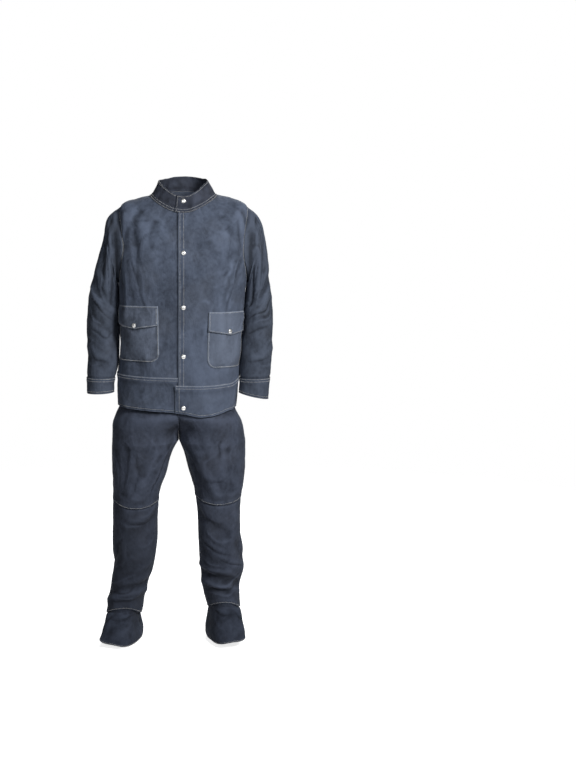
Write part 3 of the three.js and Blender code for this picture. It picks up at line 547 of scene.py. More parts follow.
KNEE_SEAM = 4
TROUSER_HEM = 10


def hip_drop(share):
    """A share of RISE, from a share of JACKET_LENGTH."""
    return (JACKET_LENGTH * share - WAIST_DEPTH_BELOW_NECK) / RISE


HIP = table(
    ("drop", "slack"),
    (0, 34),
    (0.35, 24),
    (hip_drop(0.9714), 0),
    (hip_drop(0.9944), 0),
    (0.86, -24),
    (1, -20),
)
HIP_CONTACT = 3
HIP_LAST = 5
HIP_CLEARANCE = 2.5
FRONT_SLACK = 9
LEG_STRETCH = (1.35, 58)
LEG_FOLDS = table(
    FOLD,
    (60, 0.8, 85, 3.2, 4, 20),
    (112, 0.5, 120, 3, -4, 18),
    (40, 4.5, 105, 5.3, 3.5, 17),
    (30, 5, 110, 5.9, -3.5, 17),
    (140, 6.4, 172, 7.2, -6, 18),
    (20, 6.2, 90, 6.7, 3, 18),
    (30, 8.1, 150, 8.7, -6, 16),
    (20, 8.6, 160, 9.15, 5, 15),
    (15, 7.6, 100, 8, 4, 16),
    (200, 5.6, 320, 6, -6, 22),
    (190, 6.6, 330, 7.2, 5, 22),
    (200, 8.1, 340, 8.5, -6, 18),
)
# Creases of each leg: places are the angle round the leg, 0 at the inseam and 90 at the front, and the row
LEG_CREASES_RIGHT = table(
    FOLD,
    (22, -0.8, 70, 1.6, 2.6, 9),
    (40, 0.2, 62, 3.2, -3.2, 9),
    (74, -0.6, 92, 2.6, 2.2, 10),
    (96, 0.4, 104, 3.4, -2.4, 10),
    (122, -0.4, 116, 2.8, 2.2, 10),
    (150, 0.6, 140, 3.2, -1.8, 10),
    (30, 4.35, 90, 4.75, 2.2, 8),
    (40, 4.9, 120, 5.15, -3.0, 8),
    (74, 5.3, 138, 5.1, 2.4, 8),
    (30, 5.8, 84, 6.1, 1.8, 9),
    (128, 5.9, 166, 6.9, -3.4, 8),
    (110, 6.6, 160, 7.4, 2.6, 9),
    (30, 6.9, 78, 7.7, -1.8, 10),
    (34, 8.05, 146, 8.75, -4.2, 8),
    (24, 8.4, 130, 9.15, 3.4, 8),
    (60, 9.0, 150, 9.4, -2.6, 7),
    (80, 7.6, 164, 8.0, 2.6, 8),
    (204, 5.0, 320, 5.3, -3.4, 10),
    (214, 5.9, 334, 6.1, 3.2, 10),
    (200, 6.9, 320, 7.2, -3.0, 10),
    (206, 8.0, 330, 8.3, 3.4, 9),
    (214, 8.8, 340, 8.7, -3.4, 9),
    (230, -2.6, 262, 1.2, -3.0, 12),
    (300, -2.4, 278, 1.4, 2.6, 12),
    (220, 1.6, 300, 2.6, 2.4, 12),
)
LEG_CREASES_LEFT = table(
    FOLD,
    (20, -0.6, 60, 1.8, 2.6, 9),
    (46, 0.2, 56, 2.4, -1.8, 11),
    (92, 0.3, 72, 2.2, 1.7, 11),
    (104, -0.6, 96, 1.4, -2.2, 10),
    (140, -0.2, 122, 2.6, 1.5, 11),
    (56, 2.1, 124, 2.6, -1.2, 12),
    (34, 4.4, 80, 5.2, 1.8, 9),
    (30, 6.0, 108, 6.7, -3.4, 8),
    (44, 5.7, 120, 6.2, 3.0, 8),
    (84, 6.9, 154, 7.7, -3.0, 8),
    (30, 6.8, 92, 7.5, 2.4, 9),
    (36, 7.9, 74, 8.3, -4.0, 8),
    (60, 8.9, 156, 8.2, 3.8, 7),
    (24, 8.8, 150, 8.75, -4.6, 7),
    (30, 9.2, 140, 9.0, 2.8, 7),
    (100, 7.9, 166, 8.6, 2.4, 8),
    (204, 5.2, 320, 5.0, -3.4, 10),
    (210, 6.1, 334, 5.8, 3.2, 10),
    (204, 7.2, 320, 6.9, -3.0, 10),
    (206, 8.2, 330, 8.0, 3.4, 9),
    (214, 8.9, 340, 8.8, -3.4, 9),
    (236, -2.6, 262, 1.2, 2.6, 12),
    (300, -2.4, 280, 1.4, -3.0, 12),
    (224, 1.5, 306, 2.4, -2.4, 12),
)
CROTCH_LEVEL = -WAIST_DEPTH_BELOW_NECK - RISE


def body_row_at(angle, z):
    """The row position at which the jacket reaches a height, at each angle."""
    low = np.full(np.broadcast(angle, z).shape, float(SHOULDER_TIP))
    high = np.full(low.shape, float(HEM))
    for _ in range(18):
        middle = (low + high) / 2
        above = body_shape(angle + 0 * middle, middle)[..., 2] > z
        low = np.where(above, middle, low)
        high = np.where(above, high, middle)
    return low


def leg(rows, creases, side):
    """The outer face of one trouser leg; rows below 0 run up the hips to the waist at -5."""
    seam_x = CENTRE_LEAN + side * 0.15

    def ring(angle, t):
        square = column(rows, "square", t)
        c = rounded(np.cos(np.radians(angle)), square)
        s = rounded(np.sin(np.radians(angle)), square)
        outer = STANCE * column(rows, "out", t)
        inner = STANCE * column(rows, "in", t)
        front = np.maximum(0, np.sin(np.radians(angle)))
        rear = np.maximum(0, -np.sin(np.radians(angle)))
        dip = column(rows, "dip", t) * front**2 + column(rows, "tail", t) * rear**2
        return points(
            lerp(outer, inner, 0.5 + 0.5 * c),
            column(rows, "mid", t) - LEG_HALF_DEPTH * column(rows, "deep", t) * s,
            CROTCH_LEVEL - LEG_LENGTH * column(rows, "drop", t) - dip,
        )

    def hip(angle, t):
        body_angle = side * angle / 2
        z = -WAIST_DEPTH_BELOW_NECK - RISE * column(HIP, "drop", t)
        level = side_row_at(z)
        front = ease((90 - np.abs(body_angle)) / 60)
        slack = column(HIP, "slack", t) + FRONT_SLACK * front * ease((HIP_CONTACT + 0.6 - t) / 0.5)
        place = body_shape(body_angle, level, LEATHER + LAP_GAP + slack)
        place[..., 2] = z
        opening = ease((t - HIP_CONTACT) / (HIP_LAST - HIP_CONTACT))[..., None]
        meet = ring(angle, 0 * t)
        meet[..., 2] = z
        place = lerp(place, meet, opening)
        beyond = side * (place[..., 0] - seam_x) < 0
        at_seam = beyond | (angle < 0.01) | (angle > 359.99)
        place[..., 0] = np.where(at_seam, seam_x, place[..., 0])
        return place

    def shape(angle, t):
        angle, t = np.broadcast_arrays(angle, t)
        above = hip(angle, np.minimum(t, 0) + HIP_LAST)
        below = ring(angle, np.maximum(t, 0))
        return np.where((t < 0)[..., None], above, below)

    def place(angle, t, out=0.0):
        inside = np.clip(angle, 2, 358)
        normal = normal_of(shape, inside, t, -side)
        bare = shape(angle, t)
        edge_fade = ease(np.minimum(angle, 360 - angle) / 12)
        calm = ease(np.abs(t - KNEE_SEAM) / 0.25)
        fade = ease(t / 0.6) * ease((TROUSER_HEM - t) / 0.5) * calm
        lift = fade * fold_height(LEG_FOLDS, angle, t, LEG_STRETCH)
        crooked_angle = angle + 4 * ripple(bare, 60, 140, 51 + side)
        crooked_row = t + 0.06 * ripple(bare, 60, 140, 61 + side)
        gather = ease((TROUSER_HEM - t) / 0.35) * ease((t + 4) / 1.2) * calm
        lift = lift + gather * edge_fade * crease_height(creases, crooked_angle, crooked_row, LEG_STRETCH)
        lift = lift + unevenness(bare, edge_fade)
        upper = (t <= 0) & ((angle < 0.01) | (angle > 359.99))
        normal[..., 0] = np.where(upper, 0, normal[..., 0])
        under_hem = -HIP_CLEARANCE * ease((0.1 - t) / 1.2)
        return moved(bare, unit(normal), lift + under_hem + out)

    return place


LEGS = {"right": leg(LEG_RIGHT, LEG_CREASES_RIGHT, -1), "left": leg(LEG_LEFT, LEG_CREASES_LEFT, 1)}
SLEEVES = {"right": sleeve(SLEEVE_RIGHT, -1), "left": sleeve(SLEEVE_LEFT, 1)}


class Socket:
    """One output of a material's nodes, so that shader maths reads as sums."""

    def __init__(self, finish, output):
        self.finish = finish
        self.output = output

    def _math(self, operation, first, second=None):
        values = {0: first} if second is None else {0: first, 1: second}
        return self.finish.node("ShaderNodeMath", {"operation": operation}, values)

    def __add__(self, other):
        return self._math("ADD", self, other)

    def __sub__(self, other):
        return self._math("SUBTRACT", self, other)

    def __mul__(self, other):
        return self._math("MULTIPLY", self, other)

    def __rsub__(self, other):
        return self._math("SUBTRACT", other, self)

    __radd__ = __add__
    __rmul__ = __mul__

    def kept(self):
        """This value, held between 0 and 1."""
        return self.finish.node("ShaderNodeClamp", {}, {"Value": self})


# Places of the colour sockets on a Mix node
MIX_FIRST = 6
MIX_SECOND = 7
MIX_RESULT = 2


class Finish:
    """A material in the making."""

    def __init__(self, name):
        self.material = bpy.data.materials.new(name)
        self.material.use_nodes = True
        self.tree = self.material.node_tree
        self.shader = self.tree.nodes["Principled BSDF"]

    def node(self, kind, settings=None, values=None, output=0):
        """Adds a node: settings first, then the values or links of its sockets. Returns one output."""
        made = self.tree.nodes.new(kind)
        for name, value in (settings or {}).items():
            setattr(made, name, value)
        for name, value in (values or {}).items():
            self.put(made.inputs[name], value)
        return Socket(self, made.outputs[output])

    def put(self, socket, value):
        if isinstance(value, Socket):
            self.tree.links.new(value.output, socket)
        else:
            socket.default_value = value

    def set(self, **sockets):
        for name, value in sockets.items():
            self.put(self.shader.inputs[name.replace("_", " ")], value)

    def place(self, scale=(1, 1, 1), turn=(0, 0, 0)):
        """Object coordinates in metres, stretched and turned for one pattern."""
        start = self.node("ShaderNodeTexCoord", output="Object")
        values = {"Vector": start, "Scale": scale, "Rotation": [math.radians(a) for a in turn]}
        return self.node("ShaderNodeMapping", {}, values)

    def noise(self, place, scale, detail=3.0, rough=0.55, distortion=0.0):
        values = {"Vector": place, "Scale": scale, "Detail": detail}
        values.update({"Roughness": rough, "Distortion": distortion})
        return self.node("ShaderNodeTexNoise", {}, values)

    def span(self, value, low, high):
        """From 0 at low to 1 at high, with soft ends."""
        values = {"Value": value, "From Min": low, "From Max": high}
        return self.node("ShaderNodeMapRange", {"interpolation_type": "SMOOTHSTEP"}, values)

    def blend(self, share, first, second):
        """One colour turning into another."""
        values = {"Factor": share, MIX_FIRST: first, MIX_SECOND: second}
        return self.node("ShaderNodeMix", {"data_type": "RGBA"}, values, MIX_RESULT)

    def bumped(self, height, strength, distance, under=None):
        values = {"Height": height, "Strength": strength, "Distance": distance}
        if under is not None:
            values["Normal"] = under
        return self.node("ShaderNodeBump", {}, values)

    def attribute(self, name):
        return self.node("ShaderNodeAttribute", {"attribute_name": name}, output="Fac")


def shade(colour, factor):
    return (*(c * factor for c in colour), 1)


def tinted(colour, tint):
    return tuple(c * k for c, k in zip(colour, tint))


# Tints of the leather where it is warmer, scuffed or frayed, for red, green and blue
WARM = (1.16, 1.05, 0.92)
SCUFFED = (1, 1, 0.97)
FRAYED = (1.3, 1.25, 1.15)


def suede(name, colour, pale=0.5, seed=0.0, painted_light_spans=None):
    """Split leather with a brushed nap: mottled, paler where it is rubbed, and darker in the valleys by
    painted shade.

    The last argument, of painted light and shade, gives the span across and the span up in metres over which
    it turns paler or darker, and how far.
    """
    finish = Finish(name)
    plain = finish.place(turn=(17 + seed, 31, 11))
    upright = finish.place(scale=(1, 1, 0.42), turn=(0, 6, 23 + seed))
    clouds = finish.noise(plain, 7.5, 3, 0.6, 0.4)
    patches = finish.noise(upright, 24, 4, 0.62, 0.9)
    blotches = finish.noise(plain, 78, 4, 0.66, 0.4)
    nap = finish.noise(plain, 420, 3, 0.6)
    fibres = finish.noise(finish.place(scale=(1, 1, 0.35), turn=(9, 0, 40)), 1500, 2, 0.7)
    mottle = finish.span(clouds, 0.3, 0.7) * 0.26 + finish.span(patches, 0.3, 0.72) * 0.38
    mottle = mottle + finish.span(blotches, 0.3, 0.7) * 0.24 + nap * 0.12
    base = finish.blend(mottle, shade(colour, 0.45), shade(colour, 1.52))
    warm = finish.span(finish.noise(plain, 11, 2, 0.5), 0.42, 0.75)
    base = finish.blend(warm * 0.35, base, shade(tinted(colour, WARM), 1.05))
    rubbed = finish.attribute("crest")
    base = finish.blend((rubbed * 1.1 - 0.05).kept() * 0.55, base, shade(colour, 1.8))
    # Painted shade: the leather is darkened in the valleys between folds and in the painted shadow beside
    # the front lap's edge.
    painted_shade_mask = finish.attribute("painted_crease_shade")
    base = finish.blend((painted_shade_mask * 1.1).kept() * 0.7, base, shade(colour, 0.32))
    streaked = finish.place(scale=(1, 1, 0.18), turn=(0, 24, 0))
    scuff = finish.span(finish.noise(streaked, 58, 5, 0.72, 1.4), 0.6, 0.78)
    base = finish.blend(scuff * 0.22 * pale, base, shade(tinted(colour, SCUFFED), 2.2))
    base = finish.blend(finish.attribute("worn") * 0.62, base, shade(colour, 2.15))
    # Painted light and shade: the leather turns paler or darker towards one side and low down, as the lamps
    # fall there.
    if painted_light_spans:
        apart = finish.node("ShaderNodeSeparateXYZ", {}, {0: finish.place()}, "X")
        high = finish.node("ShaderNodeSeparateXYZ", {}, {0: finish.place()}, "Z")
        painted_light_share = finish.span(apart + clouds * 0.06, *painted_light_spans[0]) * finish.span(high, *painted_light_spans[1])
        base = finish.blend(painted_light_share * 0.5, base, shade(colour, painted_light_spans[2]))
    edge = finish.attribute("edge")
    base = finish.blend((edge * pale).kept(), base, shade(tinted(colour, FRAYED), 2.3))
    rough = 0.97 - mottle * 0.1 - rubbed.kept() * 0.06
    grain = finish.bumped(nap * 0.6 + fibres * 0.4, 0.32, 0.0009)
    pebbles = finish.bumped(blotches, 0.45, 0.003, grain)
    dents = finish.bumped(patches, 0.42, 0.008, pebbles)
    finish.set(Base_Color=base, Roughness=rough, Normal=dents)
    finish.set(Specular_IOR_Level=0.14, Sheen_Weight=0.03, Sheen_Roughness=0.5)
    finish.shader.inputs["Sheen Tint"].default_value = (0.82, 0.88, 1, 1)
    return finish.material


def raw_edge(name, colour):
    """The cut edge of the leather: paler than its face, with loose fibres."""
    finish = Finish(name)
    place = finish.place()
    fibres = finish.noise(place, 900, 3, 0.7)
    patches = finish.noise(place, 60, 3, 0.6)
    tone = finish.span(patches, 0.3, 0.7) * 0.6 + fibres * 0.4
    finish.set(
        Base_Color=finish.blend(tone, shade(colour, 0.65), shade(colour, 1.35)),
        Roughness=0.93,
        Normal=finish.bumped(fibres, 0.5, 0.0008),
    )
    finish.set(Specular_IOR_Level=0.15)
    return finish.material


def thread_finish():
    """Pale grey sewing thread, lightly twisted and soiled."""
    finish = Finish("sewing_thread")
    place = finish.place()
    soil = finish.span(finish.noise(place, 40, 3, 0.6), 0.3, 0.7)
    twist = finish.noise(finish.place(turn=(35, 20, 0)), 1400, 2, 0.6)
    finish.set(
        Base_Color=finish.blend(soil * 0.8 + twist * 0.2, (0.34, 0.35, 0.365, 1), (0.68, 0.68, 0.67, 1)),
        Roughness=0.72,
        Normal=finish.bumped(twist, 0.4, 0.0003),
    )
    return finish.material


def nickel(name, colour, rough):
    """Bright plated metal with fine wear."""
    finish = Finish(name)
    place = finish.place()
    wear = finish.noise(place, 380, 4, 0.7)
    haze = finish.noise(place, 60, 2, 0.5)
    finish.set(
        Base_Color=finish.blend(wear, shade(colour, 0.78), shade(colour, 1.05)),
        Roughness=rough + wear * 0.1 + haze * 0.1,
        Metallic=1.0,
        Normal=finish.bumped(wear, 0.12, 0.0003),
    )
    return finish.material


JACKET_COLOUR = (0.074, 0.092, 0.134)
POCKET_COLOUR = (0.098, 0.118, 0.163)
COLLAR_COLOUR = (0.039, 0.0455, 0.065)
SLEEVE_COLOUR = (0.053, 0.065, 0.092)
TROUSER_COLOUR = (0.048, 0.058, 0.086)
COVER_COLOUR = (0.031, 0.038, 0.057)
EDGE_COLOUR = (0.24, 0.25, 0.26)

# The spans of the jacket, pocket and trouser finishes are painted light and shade: jacket and left pocket
# paler low down on the wearer's left, trousers darker at the right shin.
JACKET_SUEDE = suede("jacket_suede", JACKET_COLOUR, 0.4, 0, ((-0.01, 0.09), (-0.2, -0.6), 1.55))
SLEEVE_SUEDE = suede("sleeve_suede", SLEEVE_COLOUR, 0.3, 40)
POCKET_SUEDE = suede("pocket_suede", POCKET_COLOUR, 0.7, 75, ((-0.05, 0.08), (-0.1, -0.3), 1.4))
COLLAR_SUEDE = suede("collar_suede", COLLAR_COLOUR, 0.4, 110)
TROUSER_SUEDE = suede("trouser_suede", TROUSER_COLOUR, 0.35, 150, ((0.25, -0.2), (-0.9, -1.05), 0.5))
COVER_SUEDE = suede("foot_cover_suede", COVER_COLOUR, 0.25, 190)
RAW_EDGE = raw_edge("raw_edge", EDGE_COLOUR)
THREAD = thread_finish()
CAP_METAL = nickel("stud_cap_metal", (0.72, 0.72, 0.71), 0.24)
# The socket ring's dark metal is painted shade: it stands for the shadow under a stud's cap.
PAINTED_SHADE_SOCKET_METAL = nickel("stud_socket_painted_shade", (0.10, 0.10, 0.11), 0.42)


def mesh_of(bm, name):
    mesh = bpy.data.meshes.new(name)
    bm.to_mesh(mesh)
    bm.free()
    return mesh


def link(name, data):
    made = bpy.data.objects.new(name, data)
    bpy.context.collection.objects.link(made)
    return made


def blurred(field, times, closed):
    """A grid of numbers, smoothed along both of its directions."""
    for _ in range(times):
        padded = np.pad(field, ((1, 1), (0, 0)), mode="edge")
        field = (padded[:-2] + 2 * padded[1:-1] + padded[2:]) / 4
        padded = np.pad(field, ((0, 0), (1, 1)), mode="wrap" if closed else "edge")
        field = (padded[:, :-2] + 2 * padded[:, 1:-1] + padded[:, 2:]) / 4
    return field


def relief(places, outward, closed):
    """How far each point of a grid stands out from its surroundings, near and far, in millimetres."""
    total = 0
    for times, share in ((3, 1.3), (14, 0.55)):
        around = np.stack([blurred(places[..., i], times, closed) for i in range(3)], axis=-1)
        total = total + share * ((places - around) * outward).sum(axis=-1)
    return total


# Pale rubbed streaks of the front, from one place to another in mm
WORN = table(
    ("from_x", "from_z", "to_x", "to_z", "strength", "wide"),
    (164, -172, 116, -300, 0.75, 9),
    (150, -262, 126, -338, 0.5, 5),
    (40, -312, 96, -330, 0.45, 5),
    (30, -212, 36, -300, 0.3, 14),
    (-96, -150, -60, -260, 0.3, 16),
    (26, -536, 150, -548, 0.35, 12),
    (40, -608, 148, -628, 0.5, 14),
    (60, -646, 150, -652, 0.45, 7),
    (-60, -742, -72, -900, 0.35, 16),
    (120, -760, 128, -900, 0.35, 18),
    (110, -1000, 128, -1140, 0.3, 14),
)
# Where the lap's edge throws its shadow on the front below it, across from the middle in mm
LAP_LINE = -20.2


def worn(places):
    """How rubbed each place of the front is, between 0 and 1."""
    x, y, z = places.T
    total = 0.0
    for along, across, length, strength, wide in beside_lines(WORN, x, z):
        ends = ease(along / (0.3 * length)) * ease((length - along) / (0.3 * length))
        total = total + strength * ends * np.exp(-((across / wide) ** 2))
    broken = 0.75 + 0.35 * ripple(places, 10, 40, 73)
    return np.clip(total * broken, 0, 1) * (y < 0)


def leather_piece(piece, wide, long):
    """One cut piece of leather: a fine grid laid on surface(across, down, out), with its cut edges.

    piece is a row of PIECES. across and down are shares of it; wide and long are its sizes in mm.
    """
    surface = piece["surface"]
    closed = piece["closed"]
    columns = max(8, round(wide / GRID_PITCH))
    rows = max(6, round(long / GRID_PITCH))
    bm = bmesh.new()
    bm.loops.layers.uv.new("UVMap")
    bmesh.ops.create_grid(bm, x_segments=columns, y_segments=rows, size=0.5, calc_uvs=True)
    mesh = mesh_of(bm, piece["name"])
    count = len(mesh.vertices)
    shares = np.empty(count * 3)
    mesh.vertices.foreach_get("co", shares)
    shares = shares.reshape(-1, 3)
    across = np.clip(shares[:, 0] + 0.5, 0, 1)
    down = np.clip(0.5 - shares[:, 1], 0, 1)
    j = np.round(across * columns).astype(int)
    i = np.round(down * rows).astype(int)
    places = surface(across, down, 0.0)
    outward = unit(surface(across, down, 1.0) - places)
    grid = np.zeros((rows + 1, columns + 1, 3))
    away = np.zeros((rows + 1, columns + 1, 3))
    grid[i, j] = places
    away[i, j] = outward
    spare = slice(0, columns) if closed else slice(None)
    stand = relief(grid[:, spare], away[:, spare], closed)
    if closed:
        stand = np.concatenate([stand, stand[:, :1]], axis=1)
    stand = stand[i, j]
    near = np.full(count, 1e3)
    distances = (across * wide, (1 - across) * wide, down * long, (1 - down) * long)
    for letter, distance in zip("lrtb", distances):
        if letter in piece["edges"]:
            near = np.minimum(near, distance)
    frayed = 2.2 + 0.9 * ripple(places, 9, 30, 71)
    shadow = 0.0
    # Painted shadow of the lap's edge on the right front.
    if surface is right_front:
        shadow = 0.9 * np.exp(-(((places[:, 0] - LAP_LINE) / 2.6) ** 2))
    # The crest field marks rubbed raised folds; the second field is painted shade: darker in the valleys
    # between folds and in the lap's shadow on the right front.
    fields = {
        "crest": np.clip(stand / 1.6, 0, 1),
        "painted_crease_shade": np.clip(-stand / 1.7 + shadow, 0, 1),
        "worn": worn(places),
        "edge": np.clip(1.35 - near / np.maximum(0.8, frayed), 0, 1),
    }
    for field, values in fields.items():
        made = mesh.attributes.new(field, "FLOAT", "POINT")
        made.data.foreach_set("value", values.astype(np.float32))
    mesh.vertices.foreach_set("co", (places * MM).ravel())
    corner = np.empty(len(mesh.loops), dtype=np.int32)
    mesh.loops.foreach_get("vertex_index", corner)
    flat = np.stack([across[corner] * wide * MM, (1 - down[corner]) * long * MM], axis=-1)
    mesh.uv_layers[0].data.foreach_set("uv", flat.ravel())
    mesh.update()
    facing = np.empty(count * 3)
    mesh.vertices.foreach_get("normal", facing)
    if (facing.reshape(-1, 3) * outward).sum() < 0:
        mesh.flip_normals()
    if closed:
        bm = bmesh.new()
        bm.from_mesh(mesh)
        bmesh.ops.remove_doubles(bm, verts=bm.verts, dist=1e-5)
        bm.to_mesh(mesh)
        bm.free()
    mesh.shade_smooth()
    made = link(piece["name"], mesh)
    mesh.materials.append(piece["finish"])
    mesh.materials.append(RAW_EDGE)
    skin = made.modifiers.new("skin", "SOLIDIFY")
    skin.thickness = SKIN * MM
    skin.offset = -1
    skin.use_even_offset = False
    skin.material_offset_rim = 0 if piece["finish"] is TROUSER_SUEDE and piece["edges"] == "b" else 1
    return made


def dress(made, node):
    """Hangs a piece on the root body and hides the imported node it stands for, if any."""
    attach(made, "root")
    if node:
        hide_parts(node)


def even_rows(first, lengths, start, end):
    """Turns a share of the way down into a row position, so that a grid's rows lie about evenly apart."""
    marks = np.concatenate([[0], np.cumsum(lengths)])
    rows = first + np.arange(len(marks))
    low = np.interp(start, rows, marks)
    high = np.interp(end, rows, marks)
    return lambda share: np.interp(lerp(low, high, share), marks, rows)


BODY_ROW_LENGTHS = (48, 52, 72, 78, 144, 145, 98)
SLEEVE_ROW_LENGTHS = (16, 14, 18, 30, 41, 48, 60, 66, 72, 69, 48)
LEG_ROW_LENGTHS = (120, 100, 20, 55, 60, 42, 52, 54, 40, 56, 74, 74, 60, 56, 58)

# How far one piece laps over the next, in rows and in mm
BAND_LAP = 0.07
KNEE_LAP = 0.13
CUFF_LAP = 0.11
COLLAR_LAP = 8
OVER = 2.1
FLUSH = 0.9
TUCK = 1.4

panel_row = even_rows(0, BODY_ROW_LENGTHS, 0, BAND_SEAM + 0.03)
SIDE_TRIM = 0.05


def band_share(t):
    return np.clip((t - ARMPIT) / (BAND_SEAM - ARMPIT), 0, 1)


def near_seam(angle, t):
    """The leather sinks into its side, armhole and shoulder seams."""
    edge = 90 - armhole_angle(t)
    return seam_roll((edge - np.abs(angle)) * 3)


def left_front(across, down, out=0.0):
    t = panel_row(down)
    angle = lerp(-front_angle(t, FRONT_LAP), 90 - armhole_angle(t) - SIDE_TRIM, across)
    row = t + seam_drop(angle) * band_share(t)
    curl = 1.1 * np.exp(-((angle + 5.5) / 3) ** 2)
    return body_place(angle, row, out + curl + near_seam(angle, t))


def right_front(across, down, out=0.0):
    t = panel_row(down)
    angle = -lerp(-front_angle(t, UNDERLAP), 90 - armhole_angle(t) - SIDE_TRIM, across)
    return body_place(angle, t, out - under_layer(angle) + near_seam(angle, t))


def back_panel(across, down, out=0.0):
    t = panel_row(down)
    edge = 90 - armhole_angle(t) - SIDE_TRIM
    angle = lerp(180 - edge, 180 + edge, across)
    roll = seam_roll((edge - np.abs(angle - 180)) * 3)
    return body_place(angle, t, out + roll)


def closing_set_in(angle):
    return np.where(angle > 180, under_layer(angle - 360), 0)


BAND_TOP_END = 5.6
BAND_UNDER_END = 6.8
BAND_RIPPLES = table(
    FOLD,
    (-70, 6.3, -58, 6.95, 2.2, 14),
    (-40, 6.35, -34, 7.0, -1.8, 13),
    (16, 6.4, 26, 7.0, 2.0, 12),
    (40, 6.2, 48, 6.9, -1.8, 12),
    (66, 6.3, 60, 7.0, 2.2, 13),
    (120, 6.2, 128, 7.0, -2.4, 16),
    (160, 6.2, 154, 7.0, 2.2, 16),
    (-120, 6.2, -126, 7.0, 2.4, 16),
    (-160, 6.2, -152, 7.0, -2.2, 16),
)


def hem_band(across, down, out=0.0):
    angle = lerp(-BAND_TOP_END, 360 + BAND_UNDER_END, across)
    place = wrapped(angle)
    top = BAND_SEAM + 0.004 - BAND_LAP + np.where(angle < 180, seam_drop(angle), 0)
    t = lerp(top, HEM, down)
    lap = OVER * ease((t - top) * -8 + 1.6)
    ripples = fold_height(BAND_RIPPLES, place, t, BODY_STRETCH) * ease((t - BAND_SEAM) * 3)
    lift = out + lap + ripples + hem_roll(HEM - t, 98) - closing_set_in(angle)
    return body_place(angle, t, lift)


COLLAR_RISE = (0, 0.4, 1)
COLLAR_NARROW = (0, 0.1, 0.24)
COLLAR_SHORTEN = (0, 0.02, 0.07)
COLLAR_TAB = 16
COLLAR_UNDER = 12


def collar_place(angle, height, out=0.0):
    """The collar at a height above the neckline in mm; below 0 it lies on the jacket."""
    angle, height = np.broadcast_arrays(angle, height)
    seat = body_place(angle, 0 * angle, -closing_set_in(angle))
    outward = unit(seat * np.array([1, 1, 0]))
    rise = np.clip(height / COLLAR_HEIGHT, 0, 1)
    narrow = np.interp(rise, COLLAR_RISE, COLLAR_NARROW)
    shorten = np.interp(rise, COLLAR_RISE, COLLAR_SHORTEN)
    up = points(
        seat[..., 0] * (1 - narrow),
        seat[..., 1] * (1 - shorten),
        seat[..., 2] + COLLAR_HEIGHT * rise + 0.3,
    )
    wavy = 1.1 * ripple(up, 50, 110, 81) * ease(rise * 2.5) + 0.3 * ripple(up, 18, 34, 82)
    lap = OVER * ease((14 - height) / 14)
    up = moved(up, outward, out + lap + wavy)
    row = np.maximum(0, -height) / BODY_ROW_LENGTHS[0]
    low = body_place(angle, row, out + OVER - closing_set_in(angle))
    share = ease((height + 2.5) / 6)[..., None]
    low = np.where((height > 0)[..., None], low + np.array([0, 0, 1]) * height[..., None], low)
    return lerp(low, up, share)


def collar(across, down, out=0.0):
    angle = lerp(-COLLAR_TAB, 360 + COLLAR_UNDER, across)
    return collar_place(angle, lerp(COLLAR_HEIGHT, -COLLAR_LAP, down), out)


def arm_piece(place):
    row = even_rows(-1, SLEEVE_ROW_LENGTHS, -1, CUFF_SEAM + 0.04)

    def surface(across, down, out=0.0):
        t = row(down)
        tuck = TUCK * ease((t - CUFF_SEAM + CUFF_LAP + 0.16) / 0.14)
        return place(180 + 360 * across, t, out - tuck)

    return surface


def cuff_piece(place):
    def surface(across, down, out=0.0):
        t = lerp(CUFF_SEAM - CUFF_LAP, CUFF_EDGE, down)
        lap = FLUSH * ease((CUFF_SEAM + 0.24 - t) / 0.2)
        return place(180 + 360 * across, t, out + lap + hem_roll(CUFF_EDGE - t, 48))

    return surface


def thigh_piece(place):
    row = even_rows(-5, LEG_ROW_LENGTHS, -5, KNEE_SEAM + KNEE_LAP)

    def surface(across, down, out=0.0):
        t = row(down)
        lap = FLUSH * ease((t - KNEE_SEAM + 0.3) / 0.24)
        return place(360 * across, t, out + lap)

    return surface


def shin_piece(place):
    row = even_rows(-5, LEG_ROW_LENGTHS, KNEE_SEAM - 0.1, TROUSER_HEM)

    def surface(across, down, out=0.0):
        t = row(down)
        tuck = TUCK * ease((KNEE_SEAM + KNEE_LAP + 0.16 - t) / 0.14)
        return place(360 * across, t, out + hem_roll(TROUSER_HEM - t, 58) - tuck)

    return surface


# Pockets: top is a share of JACKET_LENGTH, the rest are shares of the quarter turn to the side.
POCKETS = {
    "right": {"side": -1, "top": 0.503, "inner": 0.203, "outer": 0.86, "point": 0.475, "stud": 0.482},
    "left": {"side": 1, "top": 0.53, "inner": 0.207, "outer": 0.85, "point": 0.5, "stud": 0.478},
}
POCKET_CORNER = 26
POCKET_WIDTH = 128
QUARTER_WIDTH = 1.25 * CHEST_HALF_WIDTH * 0.95
FLAP_SEAM = 9
FLAP_FREE = 1.2


def from_side(pocket, share):
    return np.minimum(share - pocket["inner"], pocket["outer"] - share)


def pocket_place(pocket, share, drop, lift):
    angle = pocket["side"] * 90 * share
    z = -JACKET_LENGTH * pocket["top"] - drop
    edge = from_side(pocket, share) / (pocket["outer"] - pocket["inner"])
    fall = ease((drop - FLAP_SEAM) / 45) * ease((POCKET_HEIGHT - drop) / 40)
    belly = POCKET_FULLNESS * ease(edge * 4) * fall
    t = body_row_at(angle + 0 * z, z)
    inset = under_layer(angle) if pocket["side"] < 0 else 0
    return body_place(angle, t, LAP_GAP + belly + lift - inset)


def bag_bottom(pocket, share):
    span = QUARTER_WIDTH * from_side(pocket, share)
    corner = np.clip(1 - span / POCKET_CORNER, 0, 1)
    return POCKET_HEIGHT - POCKET_CORNER * (1 - np.sqrt(1 - corner * corner))


